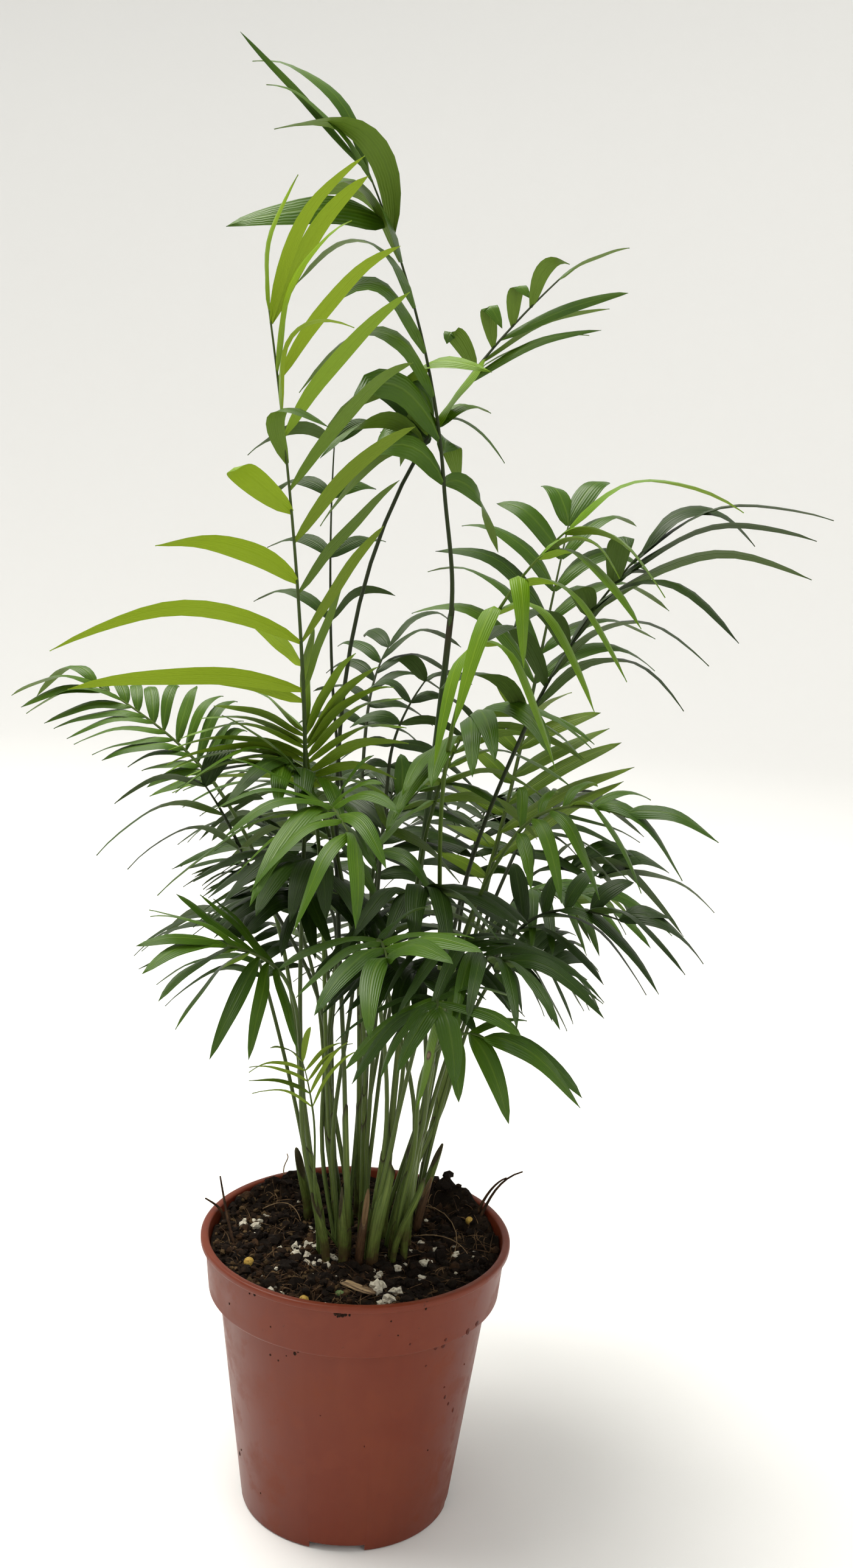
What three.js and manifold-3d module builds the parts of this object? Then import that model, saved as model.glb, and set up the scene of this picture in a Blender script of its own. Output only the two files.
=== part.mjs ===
// A potted clump of feather-leaved palms: a nursery pot, its soil, a tight
// bunch of canes and a crown of fronds.  Millimetres, +Z up.  The origin is
// the middle of the pot's flat underside, and -Y is the front.
//
// Every frond is one solid: a stalk that thins from its foot to its tip, and
// leaflets whose roots are sunk in it.  The leaflet tips of one side of a
// frond lie along one curve, the edge of the frond.  A leaflet that would
// touch another frond or a stalk is moved aside a little, or left out.
import * as THREE from 'three';
import { mergeVertices } from 'three/addons/utils/BufferGeometryUtils.js';
import Module from 'manifold-3d';

const wasm = await Module();
wasm.setup();

// ---- driving dimensions ----------------------------------------------------

const CLEARANCE = 0.3;                 // between any two nodes

const POT = {
  height: 111,
  baseRadius: 41.3,
  stepRadius: 52.4,                    // top of the tapering body
  stepHeight: 88.9,                    // underside of the band below the rim
  bandRadius: 56.4,                    // foot of that band
  bandTopRadius: 58.2,
  rimRadius: 60,
  rimDepth: 2.6,
  wall: 1.3,
  floor: 4.6,
  edge: 0.6,                           // bevel of its edges
  shoulder: 2.5,                       // depth of the slope under the band, inside
  segments: 36,
};
// openings cut in the foot ring, the first one at this angle in plan
const NOTCH = { count: 4, width: 21, height: 3, reach: 9, first: -93 };

const SOIL = {
  level: 105.7,                        // flat middle, where the canes stand
  flatRadius: 42,
  edgeRadius: 50,
  rings: [24, 43, 50],
  gap: 0.6,                            // to the pot's wall
  bevel: 1,
};
// heaps of soil against the rim: middle, height and spread
const HEAPS = [
  { x: 36, y: 38, height: 6.5, spread: 13 },
  { x: -30, y: 42, height: 3.5, spread: 11 },
  { x: -8, y: -52, height: -2.5, spread: 18 },
];

const CANE = { footRadius: 3.4, topRadius: 2.1, sides: 6, steps: 4 };
const STALK = {
  footRadius: 1.7,
  crownRadius: 1.25,
  tipRadius: 0.65,
  sides: 3,
  bareSteps: 5,                        // below its first leaflets
  ribSteps: 4,
  pull: 0.35,                          // length of the bends at foot and crown
  lean: 0.12,                          // how far it turns from the cane beside it
  seatStep: 0.2,
};

// A leaflet's section is a flat triangle: two edges and a keel.
const LEAF = {
  steps: 3,
  thickness: 0.9,
  thinnest: 1 / 85,                    // thickness over length
  keelTip: 0.5,                        // what is left of the keel at the tip
  turn: 0.75,                          // how far the blade turns level to its tip
  lift: 0.35,                          // how level the blade is at its root
  early: 0.12,                         // how much a high arch moves to the root
};
const TIP_SPREAD = 3.5;                // how unevenly the tips follow the edge
const RISE_SPREAD = 0.2;
const WIDTH_SPAN = [0.85, 1.05];       // width at the first and at the last leaflet
// where a leaflet's tip goes, one after the other, while it touches something
const NUDGES = [
  [0, 0, 0], [0, 7, 0], [0, -7, 0], [0, 0, 7], [0, 0, -7], [0, 14, 3], [0, -14, 3],
  [6, 0, 6], [-6, 0, 6], [0, 22, 0], [0, -22, 0], [8, 8, -8], [-8, -8, -8],
];

const TONES = {
  bright: { color: 0x86a63a, roughness: 0.42 },
  mid: { color: 0x4c7a2e, roughness: 0.4 },
  dark: { color: 0x2f5226, roughness: 0.38 },
};
const COLORS = { pot: 0x9a5238, soil: 0x2a211b, cane: 0x76864f };

// Canes: foot on the soil and top, where the highest stalk starts.
const CANES = [
  { name: 'stem_01', foot: [-18, 27], top: [-25, 26, 165] },
  { name: 'stem_02', foot: [-12, -12], top: [-19, -14, 150] },
  { name: 'stem_03', foot: [-9, 18], top: [-14, 20, 175] },
  { name: 'stem_04', foot: [-8, 3], top: [-12, 2, 150] },
  { name: 'stem_05', foot: [-3, -13], top: [-6, -14, 165] },
  { name: 'stem_06', foot: [0, 22], top: [-2, 26, 190] },
  { name: 'stem_07', foot: [2, 4], top: [1, 2, 170] },
  { name: 'stem_08', foot: [5, -12], top: [9, -16, 150] },
  { name: 'stem_09', foot: [14, -11], top: [22, -18, 165] },
  { name: 'stem_10', foot: [20, -2], top: [26, -8, 185] },
  { name: 'stem_11', foot: [11, 8], top: [25, 14, 350] },
  { name: 'stem_12', foot: [21, 14], top: [30, 12, 210] },
  { name: 'stem_13', foot: [25, 28], top: [36, 38, 180] },
];

// One side of a frond: how many leaflets, where on the rib the first and the
// last one grow, the curve of their tips, how much they arch, how wide they are.
const side = (count, span, tips, rise, width) => ({ count, span, tips, rise, width });

// A leaflet apart from those: its place on the rib and its own tip.
const leaf = (at, tip, rise, sway, width) => ({ at, tip, rise, sway, width });

// The edge of an even frond, in shares of its reach: aside of the rib, ahead
// and up, from its crown for the first point and from its tip for the others.
const EVEN_EDGE = [[0.85, 0.35, -0.3], [1.3, 0.3, -0.2], [0.25, 1.0, -0.2]];

// A frond with both sides alike.
function evenFrond(name, stem, at, rib, count, reach) {
  const [crown, , tip] = rib.map((p) => new THREE.Vector3(...p));
  const out = tip.clone().sub(crown).setZ(0).normalize();
  const aside = new THREE.Vector3(out.y, -out.x, 0);
  const edge = (sign) => EVEN_EDGE.map(([across, ahead, up], i) => {
    const point = (i === 0 ? crown : tip).clone();
    point.addScaledVector(aside, sign * across * reach);
    point.addScaledVector(out, ahead * reach);
    point.z += up * reach;
    return point.toArray();
  });
  const half = (sign) => side(count, [0, 1], edge(sign), 0.35, 8.5);
  return { name, stem, at, tone: 'dark', rib, left: half(1), right: half(-1) };
}

// Fronds: the cane and the share of its height where the stalk leaves it, the
// rib (first leaflets, bend, tip), and the two sides.
const FRONDS = [
  {
    name: 'frond_tall', stem: 'stem_11', at: 1, tone: 'mid',
    rib: [[20, 14, 398], [14, 18, 451], [-12, 20, 505]],
    left: side(6, [0, 0.72], [[-20, 0, 390], [-42, -20, 434], [-35, -6, 480]], 0.8, 12.5),
    right: side(3, [0, 0.2], [[42, 25, 375], [37, 45, 397], [4, 40, 404]], 0.6, 9),
    odd: [
      leaf(1, [-58, 15, 548], 0.06, 0.02, 5),
      leaf(1, [-55, 32, 542], 0.36, 0.12, 6),
      leaf(0.97, [-48, 8, 530], 0.25, 0, 6),
      leaf(0.84, [-59, -8, 481], 0.22, 0, 12),
      leaf(0.8, [-45, 10, 516], 0.6, 0.42, 12.5),
      leaf(0.86, [-32, 38, 498], 0.35, 0, 6),
    ],
  },
  {
    name: 'frond_bright', stem: 'stem_02', at: 1, tone: 'bright',
    rib: [[-26, -28, 320], [-30, -38, 384], [-41, -44, 452]],
    left: side(2, [0.18, 0.34], [[-102, -72, 345], [-88, -74, 358], [-71, -75, 375]], 0.22, 8.5),
    right: side(8, [0.05, 0.97], [[-13, -18, 366], [28, -20, 428], [-11, -40, 498]], 0.16, 6.5),
    odd: [
      leaf(1, [-33, -45, 494], -0.05, -0.22, 5),
      leaf(0.97, [-12, -50, 500], 0, -0.14, 5.5),
      leaf(0.64, [-20, -55, 416], 0.9, -0.7, 8),
      leaf(0.52, [-49, -62, 401], 0.35, -0.4, 11),
      leaf(0.05, [-102, -60, 328], 0.08, 0, 8),
      leaf(0.02, [-74, -20, 328], 0.1, 0, 7.5),
      leaf(0.12, [-46, -15, 347], 0.05, 0, 8),
      leaf(0.76, [-13, -60, 447], 0.7, -0.35, 7),
      leaf(0.86, [-15, -62, 479], 0.35, -0.2, 7),
    ],
  },
  {
    name: 'frond_thin', stem: 'stem_06', at: 1, tone: 'mid',
    rib: [[-19, 32, 331], [-22, 36, 376], [-21, 38, 411]],
    left: side(4, [0.15, 1], [[-47, 50, 346], [-49, 60, 378], [-55, 50, 404]], 0.4, 6),
    right: side(4, [0.15, 1], [[7, 50, 353], [3, 50, 381], [-10, 45, 417]], 0.3, 6),
  },
  {
    name: 'frond_high_right', stem: 'stem_05', at: 1, tone: 'mid',
    rib: [[12, 28, 411], [30, 34, 444], [60, 43, 474]],
    left: side(4, [0.2, 0.85], [[19, 26, 450], [36, 33, 472], [66, 42, 482]], 0.15, 10),
    right: side(4, [0.2, 0.62], [[71, 46, 452], [82, 48, 462], [89, 50, 470]], 0.18, 5.5),
    odd: [
      leaf(1, [86, 48, 487], 0.12, 0, 4),
      leaf(0.1, [37, 36, 424], 0.5, 0, 6.5),
      leaf(0.04, [43, 34, 406], 0.75, 0, 6.5),
      leaf(0, [-16, 20, 397], 0.6, 0, 9.5),
      leaf(0.08, [-15, 10, 423], 0.75, 0.3, 11),
      leaf(0.06, [35, 10, 438], 0.8, -0.75, 9.5),
      leaf(0.1, [33, 18, 443], 0.1, 0, 13),
    ],
  },
  {
    name: 'frond_right', stem: 'stem_12', at: 1, tone: 'dark',
    rib: [[52, -30, 319], [64, -40, 354], [85, -48, 381]],
    left: side(6, [0, 1], [[23, -60, 334], [33, -70, 366], [123, -30, 381]], 0.6, 9),
    right: side(3, [0.08, 0.42], [[98, -60, 329], [105, -64, 348], [116, -66, 355]], 0.65, 9),
    odd: [
      leaf(0.78, [78, -62, 382], 0.9, 0, 8.5),
      leaf(0.62, [139, -60, 375], 0.38, 0, 8.5),
      leaf(0.8, [142, -50, 387], 0.3, 0, 7),
      leaf(0.9, [147, -50, 394], 0.32, 0, 6.5),
    ],
  },
  {
    name: 'frond_right_behind', stem: 'stem_13', at: 1, tone: 'mid',
    rib: [[62, 62, 320], [67, 70, 349], [73, 78, 382]],
    left: side(6, [0, 1], [[15, 70, 347], [16, 75, 375], [64, 90, 397]], 0.5, 9),
    right: side(6, [0, 1], [[111, 75, 323], [123, 80, 361], [94, 95, 396]], 0.45, 9),
  },
  {
    name: 'frond_light', stem: 'stem_10', at: 1, tone: 'bright',
    rib: [[32, -62, 349], [40, -72, 372], [57, -80, 389]],
    left: side(5, [0, 1], [[22, -75, 309], [22, -90, 344], [106, -95, 400]], 0.55, 9),
    right: side(5, [0, 0.95], [[57, -72, 314], [83, -85, 343], [85, -95, 373]], 0.55, 9.5),
  },
  {
    name: 'frond_inner_right', stem: 'stem_12', at: 0.8, tone: 'mid',
    rib: [[45, 34, 246], [53, 40, 277], [58, 46, 307]],
    left: side(6, [0, 1], [[28, 40, 254], [27, 50, 286], [47, 55, 323]], 0.1, 6.5),
    right: side(6, [0.1, 1], [[100, 50, 280], [104, 60, 306], [77, 50, 320]], 0.12, 6.5),
  },
  {
    name: 'frond_right_front', stem: 'stem_09', at: 1, tone: 'mid',
    rib: [[48, -60, 286], [57, -74, 304], [79, -88, 300]],
    left: side(5, [0.05, 1], [[52, -50, 301], [77, -60, 304], [101, -92, 298]], 0.35, 7),
    right: side(6, [0, 1], [[52, -82, 274], [80, -98, 270], [104, -100, 294]], 0.4, 7),
  },
  {
    name: 'frond_low_right_behind', stem: 'stem_13', at: 0.9, tone: 'dark',
    rib: [[62, 50, 240], [71, 60, 251], [95, 72, 238]],
    left: side(4, [0.1, 1], [[66, 60, 258], [98, 75, 259], [129, 95, 232]], 0.4, 8.5),
    right: side(5, [0, 1], [[90, 62, 214], [120, 80, 208], [145, 90, 217]], 0.4, 7.5),
  },
  {
    name: 'frond_low_right', stem: 'stem_12', at: 0.45, tone: 'dark',
    rib: [[55, -8, 237], [66, -18, 254], [89, -30, 249]],
    left: side(5, [0.1, 1], [[56, 0, 258], [86, -10, 269], [108, -35, 250]], 0.35, 7.5),
    right: side(5, [0, 1], [[86, -30, 226], [108, -50, 224], [120, -45, 241]], 0.4, 7.5),
  },
  {
    name: 'frond_low_right_small', stem: 'stem_13', at: 0.6, tone: 'dark',
    rib: [[52, 42, 204], [60, 50, 212], [74, 56, 203]],
    left: side(4, [0, 1], [[55, 60, 224], [88, 80, 220], [102, 80, 190]], 0.35, 7),
    right: side(5, [0, 1], [[60, 30, 188], [82, 50, 176], [99, 70, 182]], 0.4, 7),
  },
  {
    name: 'frond_low_front_right', stem: 'stem_09', at: 0.6, tone: 'mid',
    rib: [[28, -60, 212], [34, -68, 220], [40, -72, 218]],
    left: side(3, [0.2, 1], [[33, -60, 232], [61, -70, 232], [71, -85, 204]], 0.25, 7),
    right: side(3, [0.2, 1], [[30, -75, 198], [41, -95, 190], [74, -90, 201]], 0.25, 7.5),
  },
  {
    name: 'frond_front_broad', stem: 'stem_08', at: 1, tone: 'mid',
    rib: [[3, -70, 250], [5, -85, 254], [6, -97, 252]],
    left: side(4, [0, 1], [[-26, -80, 243], [-28, -110, 234], [0, -130, 239]], 0.3, 7.5),
    right: side(4, [0, 1], [[19, -70, 260], [49, -95, 261], [26, -130, 259]], 0.2, 10),
  },
  {
    name: 'frond_front_right', stem: 'stem_08', at: 0.6, tone: 'mid',
    rib: [[23, -62, 228], [24, -78, 233], [23, -90, 234]],
    left: side(5, [0, 1], [[-6, -75, 214], [-5, -95, 205], [13, -110, 221]], 0.28, 7.5),
    right: side(4, [0, 1], [[41, -60, 237], [67, -85, 233], [31, -112, 215]], 0.25, 8),
    odd: [
      leaf(0.2, [18, -85, 197], 0.2, 0.1, 8),
    ],
  },
  {
    name: 'frond_low_left', stem: 'stem_02', at: 0.75, tone: 'mid',
    rib: [[-32, -40, 229], [-38, -50, 238], [-48, -60, 243]],
    left: side(6, [0, 1], [[-52, -30, 250], [-79, -50, 265], [-76, -75, 247]], 0.18, 6.5),
    right: side(6, [0, 1], [[-20, -60, 206], [-66, -90, 202], [-74, -80, 240]], 0.22, 7),
  },
  {
    name: 'frond_seedling', stem: 'stem_02', at: 0.4, tone: 'bright',
    rib: [[-18, -26, 172], [-20, -28, 184], [-22, -30, 191]],
    left: side(5, [0, 1], [[-36, -35, 181], [-46, -40, 190], [-34, -35, 194]], 0.25, 3.5),
    right: side(5, [0, 1], [[-1, -35, 195], [-2, -40, 206], [-16, -35, 203]], 0.3, 3.5),
  },
  {
    name: 'frond_left', stem: 'stem_01', at: 1, tone: 'mid',
    rib: [[-62, 26, 281], [-77, 34, 298], [-110, 44, 314]],
    left: side(7, [0, 1], [[-82, 20, 278], [-112, 32, 296], [-146, 50, 305]], 0.22, 8),
    right: side(6, [0, 1], [[-48, 40, 299], [-70, 50, 323], [-134, 60, 306]], 0.5, 7.5),
  },
  {
    name: 'frond_left_dark', stem: 'stem_03', at: 1, tone: 'dark',
    rib: [[-48, -10, 264], [-54, -18, 280], [-60, -24, 290]],
    left: side(3, [0, 1], [[-81, -42, 260], [-102, -40, 262], [-93, -30, 283]], 0.4, 6.5),
    right: side(4, [0, 1], [[-35, -30, 260], [-32, -20, 282], [-52, -10, 299]], 0.3, 8),
  },
  {
    name: 'frond_center_front', stem: 'stem_07', at: 1, tone: 'mid',
    rib: [[-15, -40, 284], [-16, -58, 297], [-8, -78, 288]],
    left: side(7, [0, 1], [[-51, -30, 315], [-62, -75, 279], [-24, -100, 264]], 0.3, 7),
    right: side(5, [0, 1], [[-4, -40, 309], [13, -80, 297], [-2, -110, 263]], 0.35, 8),
    odd: [
      leaf(0.12, [-69, -80, 265], 0.34, 0, 9.5),
      leaf(0.3, [-38, -95, 267], 0.3, 0, 9),
    ],
  },
  {
    name: 'frond_center_left', stem: 'stem_04', at: 1, tone: 'bright',
    rib: [[-23, -12, 289], [-25, -18, 302], [-26, -22, 311]],
    left: side(5, [0, 1], [[-69, -20, 286], [-84, -20, 299], [-48, -20, 327]], 0.25, 6.5),
    right: side(5, [0, 1], [[5, -20, 290], [28, -30, 336], [-24, -25, 345]], 0.3, 7.5),
  },
  {
    name: 'frond_left_behind', stem: 'stem_03', at: 0.6, tone: 'dark',
    rib: [[-32, 58, 221], [-41, 66, 234], [-48, 72, 235]],
    left: side(4, [0, 1], [[-65, 70, 216], [-79, 80, 226], [-77, 85, 231]], 0.3, 6.5),
    right: side(4, [0, 1], [[-20, 70, 234], [-26, 80, 252], [-44, 85, 247]], 0.3, 6.5),
  },
  {
    name: 'frond_back_high', stem: 'stem_06', at: 0.6, tone: 'dark',
    rib: [[-5, 84, 296], [-4, 96, 315], [3, 108, 326]],
    left: side(5, [0, 1], [[-31, 95, 290], [-28, 110, 320], [-8, 130, 329]], 0.4, 7),
    right: side(6, [0, 1], [[21, 95, 285], [36, 115, 309], [31, 130, 332]], 0.4, 7),
  },
  {
    name: 'frond_drooping', stem: 'stem_07', at: 0.8, tone: 'dark',
    rib: [[5, 48, 286], [6, 54, 302], [18, 60, 319]],
    left: side(5, [0, 1], [[-13, 45, 268], [-15, 50, 302], [6, 50, 327]], 0.45, 6.5),
    right: side(5, [0, 1], [[31, 60, 264], [50, 65, 284], [38, 75, 313]], 0.4, 6.5),
  },
  {
    name: 'frond_center_right', stem: 'stem_10', at: 0.6, tone: 'mid',
    rib: [[2, 6, 261], [6, 2, 276], [16, -2, 287]],
    left: side(4, [0.02, 1], [[-19, 10, 276], [-9, 10, 295], [27, 0, 301]], 0.3, 7),
    right: side(4, [0, 1], [[22, -20, 245], [44, -20, 260], [44, -10, 281]], 0.35, 7),
  },
  evenFrond('frond_back_center', 'stem_03', 0.85, [[-14, 58, 246], [-20, 84, 276], [-22, 108, 268]], 5, 52),
  evenFrond('frond_back_right', 'stem_13', 0.5, [[40, 74, 236], [46, 96, 262], [50, 114, 256]], 5, 46),
  evenFrond('frond_back_left', 'stem_03', 0.15, [[-24, 68, 228], [-34, 90, 250], [-44, 104, 242]], 5, 44),
  evenFrond('frond_far_right', 'stem_12', 0.6, [[58, 60, 250], [68, 80, 268], [76, 96, 262]], 5, 42),
  evenFrond('frond_back_low', 'stem_06', 0.15, [[10, 66, 196], [12, 88, 214], [14, 106, 206]], 5, 48),
  evenFrond('frond_far_left', 'stem_01', 0.35, [[-42, 50, 196], [-50, 70, 212], [-58, 86, 206]], 5, 42),
];

// ---- small helpers ---------------------------------------------------------

const UP = new THREE.Vector3(0, 0, 1);
const vec = (p) => new THREE.Vector3(...p);
const mix = (a, b, t) => a + (b - a) * t;
const smooth = (t) => { const k = Math.min(1, Math.max(0, t)); return k * k * (3 - 2 * k); };

// A fixed sequence of numbers from -1 to 1.
function sequence(seed) {
  let state = seed;
  return () => {
    state = (state * 16807) % 2147483647;
    return (state / 2147483647) * 2 - 1;
  };
}

// A closed geometry as a solid, turned the right way out.
function solid(geometry) {
  const bare = geometry.clone();
  bare.deleteAttribute('normal');
  bare.deleteAttribute('uv');
  const merged = mergeVertices(bare, 1e-4);
  const points = merged.getAttribute('position').array;
  const faces = Uint32Array.from(merged.index.array);
  if (signedVolume(points, faces) < 0) {
    for (let i = 0; i < faces.length; i += 3) {
      [faces[i], faces[i + 1]] = [faces[i + 1], faces[i]];
    }
  }
  const vertProperties = Float32Array.from(points);
  return new wasm.Manifold(new wasm.Mesh({ numProp: 3, vertProperties, triVerts: faces }));
}

function signedVolume(points, faces) {
  const at = (i) => new THREE.Vector3().fromArray(points, 3 * i);
  let six = 0;
  for (let i = 0; i < faces.length; i += 3) {
    six += at(faces[i]).dot(at(faces[i + 1]).cross(at(faces[i + 2])));
  }
  return six / 6;
}

// A solid as a named mesh.
function meshOf(name, body, look) {
  const { vertProperties, triVerts } = body.getMesh();
  const geometry = new THREE.BufferGeometry();
  geometry.setAttribute('position', new THREE.Float32BufferAttribute(vertProperties, 3));
  geometry.setIndex(Array.from(triVerts));
  geometry.computeVertexNormals();
  const material = new THREE.MeshStandardMaterial({ metalness: 0, roughness: 0.8, ...look });
  const mesh = new THREE.Mesh(geometry, material);
  mesh.name = name;
  return mesh;
}

function lathe(profile, segments) {
  const points = profile.map(([radius, z]) => new THREE.Vector2(radius, z));
  return new THREE.LatheGeometry(points, segments).rotateX(Math.PI / 2);
}

// ---- pot and soil ----------------------------------------------------------

function outerRadius(z) {
  if (z > POT.stepHeight) {
    const share = (z - POT.stepHeight) / (POT.height - POT.rimDepth - POT.stepHeight);
    return mix(POT.bandRadius, POT.bandTopRadius, share);
  }
  return mix(POT.baseRadius, POT.stepRadius, z / POT.stepHeight);
}

const innerRadius = (z) => outerRadius(z) - POT.wall;

function makePot() {
  const underRim = POT.height - POT.rimDepth;
  const overStep = POT.stepHeight + POT.edge;
  const neck = POT.stepHeight - POT.shoulder;
  const mouth = POT.bandTopRadius - POT.wall;
  const wall = solid(lathe([
    [0, 0],
    [POT.baseRadius - POT.edge, 0],
    [POT.baseRadius, POT.edge],
    [POT.stepRadius, POT.stepHeight - 2 * POT.edge],
    [POT.bandRadius - POT.edge, POT.stepHeight],
    [POT.bandRadius, overStep],
    [POT.bandTopRadius, underRim - POT.edge],
    [POT.rimRadius - POT.edge, underRim],
    [POT.rimRadius, underRim + POT.edge],
    [POT.rimRadius, POT.height - POT.edge],
    [POT.rimRadius - POT.edge, POT.height],
    [mouth + POT.edge, POT.height],
    [mouth, POT.height - POT.edge],
    [innerRadius(overStep), overStep],
    [innerRadius(neck), neck],
    [innerRadius(POT.floor), POT.floor],
    [0, POT.floor],
  ], POT.segments));
  const notches = [];
  for (let i = 0; i < NOTCH.count; i += 1) {
    const box = new THREE.BoxGeometry(2 * NOTCH.reach, NOTCH.width, 2 * NOTCH.height);
    box.translate(POT.baseRadius, 0, 0);
    box.rotateZ(THREE.MathUtils.degToRad(NOTCH.first + (360 / NOTCH.count) * i));
    notches.push(solid(box));
  }
  const body = wall.subtract(wasm.Manifold.union(notches));
  return meshOf('pot', body, { color: COLORS.pot, roughness: 0.5 });
}

// Height of the soil above a place in plan.
function soilTop(x, y) {
  const rise = smooth((Math.hypot(x, y) - SOIL.flatRadius) / (SOIL.edgeRadius - SOIL.flatRadius));
  const heaps = HEAPS.reduce((sum, heap) => {
    const far = (x - heap.x) ** 2 + (y - heap.y) ** 2;
    return sum + heap.height * Math.exp(-far / (2 * heap.spread ** 2));
  }, 0);
  return SOIL.level + heaps * rise;
}

function makeSoil() {
  const low = POT.floor + CLEARANCE;
  const neck = POT.stepHeight - POT.shoulder;
  const band = POT.stepHeight + POT.edge;
  const rim = SOIL.level - SOIL.bevel;
  const inside = (z) => innerRadius(z) - SOIL.gap;
  const profile = [low, neck, band, rim].map((z) => [inside(z), z]);
  for (const radius of [...SOIL.rings].reverse()) {
    profile.push([radius, SOIL.level]);
  }
  const geometry = lathe([[0, low], ...profile, [0, SOIL.level]], POT.segments);
  const spots = geometry.getAttribute('position');
  for (let i = 0; i < spots.count; i += 1) {
    if (spots.getZ(i) > band + SOIL.bevel) {
      const sunk = SOIL.level - spots.getZ(i);
      spots.setZ(i, soilTop(spots.getX(i), spots.getY(i)) - sunk);
    }
  }
  return meshOf('soil', solid(geometry), { color: COLORS.soil, roughness: 1 });
}

// ---- canes and stalks ------------------------------------------------------

// A round bar bent along a curve.  radius(t) is its radius at each place.
function bentBar(curve, radius, sides, steps) {
  const bar = new THREE.CylinderGeometry(1, 1, 1, sides, steps);
  const frames = curve.computeFrenetFrames(steps, false);
  const spots = bar.getAttribute('position');
  const point = new THREE.Vector3();
  for (let i = 0; i < spots.count; i += 1) {
    const step = Math.round((spots.getY(i) + 0.5) * steps);
    const r = radius(step / steps);
    curve.getPoint(step / steps, point);
    point.addScaledVector(frames.normals[step], spots.getX(i) * r);
    point.addScaledVector(frames.binormals[step], spots.getZ(i) * r);
    spots.setXYZ(i, point.x, point.y, point.z);
  }
  return bar;
}

// A cane stands on its flat foot and leans to its top.
function caneOf({ foot, top }) {
  const start = vec([...foot, soilTop(...foot) + CLEARANCE]);
  const end = vec(top);
  const rise = (end.z - start.z) / 3;
  const path = new THREE.CubicBezierCurve3(
    start,
    start.clone().addScaledVector(UP, rise),
    end.clone().lerp(start, 1 / 3),
    end,
  );
  const radius = (t) => mix(CANE.footRadius, CANE.topRadius, Math.sqrt(t));
  const grown = (t) => radius(t) + CLEARANCE;
  const room = solid(bentBar(path, grown, CANE.sides, CANE.steps));
  return { path, radius, room };
}

const STALK_STEPS = STALK.bareSteps + STALK.ribSteps;
const BARE = STALK.bareSteps / STALK_STEPS;    // the share of a stalk below its crown

// A stalk: the bare petiole up to the crown, then the rib that carries leaflets.
class Stalk extends THREE.Curve {
  constructor(foot, lead, rib) {
    super();
    const [crown, bend, tip] = rib;
    const reach = foot.distanceTo(crown) * STALK.pull;
    const aim = bend.clone().sub(crown).normalize();
    this.petiole = new THREE.CubicBezierCurve3(
      foot,
      foot.clone().addScaledVector(lead, reach),
      crown.clone().addScaledVector(aim, -reach),
      crown,
    );
    this.rib = new THREE.QuadraticBezierCurve3(crown, bend, tip);
  }

  getPoint(t, target = new THREE.Vector3()) {
    if (t < BARE) {
      return this.petiole.getPoint(t / BARE, target);
    }
    return this.rib.getPoint((t - BARE) / (1 - BARE), target);
  }
}

// Where a stalk leaves its cane: on top, or beside it at a share of its height
// with its middle this far outside the cane.
function stalkFoot(cane, at, crown, apart) {
  const lead = cane.path.getTangent(at);
  const foot = cane.path.getPoint(at);
  if (at === 1) {
    return { foot: foot.addScaledVector(lead, CLEARANCE), lead };
  }
  const out = crown.clone().sub(foot).setZ(0).normalize();
  out.addScaledVector(lead, -out.dot(lead)).normalize();
  foot.addScaledVector(out, cane.radius(at) + apart);
  return { foot, lead: lead.addScaledVector(out, STALK.lean).normalize() };
}

// A stalk that stands as close beside its cane as the clearance lets it.
function seatedStalk(frond) {
  const cane = canes.get(frond.stem);
  const rib = frond.rib.map(vec);
  let apart = 0;
  let path;
  let body;
  do {
    apart += STALK.seatStep;
    const { foot, lead } = stalkFoot(cane, frond.at, rib[0], apart);
    path = new Stalk(foot, lead, rib);
    body = solid(bentBar(path, stalkRadius, STALK.sides, STALK_STEPS));
  } while (frond.at < 1 && !cane.room.intersect(body).isEmpty());
  return { path, body };
}

function stalkRadius(t) {
  if (t < BARE) {
    return mix(STALK.footRadius, STALK.crownRadius, t / BARE);
  }
  return mix(STALK.crownRadius, STALK.tipRadius, (t - BARE) / (1 - BARE));
}

// ---- leaflets --------------------------------------------------------------

// Half width of a leaflet along its length, as a share of its widest half: a
// narrow root, widest before the middle, and a long point.
function leafOutline(s) {
  return Math.sin(Math.PI * (0.02 + 0.98 * s ** 0.75)) ** 0.8;
}

// The middle line of a leaflet: it climbs from its root and falls to its tip.
function leafPath(root, tip, rise, sway) {
  const length = root.distanceTo(tip);
  const middle = root.clone().lerp(tip, 0.5 - LEAF.early * rise);
  middle.x += sway * length;
  middle.z += rise * length;
  return new THREE.QuadraticBezierCurve3(root, middle, tip);
}

// The direction of a leaflet's width: along the rib at its root, level at its tip.
function leafWidthAxis(path, along, s) {
  const heading = path.getTangent(0);
  const level = new THREE.Vector3().crossVectors(path.v2.clone().sub(path.v0), UP).normalize();
  const rooted = along.clone().addScaledVector(heading, -along.dot(heading));
  if (rooted.dot(level) < 0) {
    level.negate();
  }
  const axis = rooted.addScaledVector(level, LEAF.lift).normalize();
  axis.lerp(level, LEAF.turn * s);
  const tangent = path.getTangent(s);
  return axis.addScaledVector(tangent, -axis.dot(tangent)).normalize();
}

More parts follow.
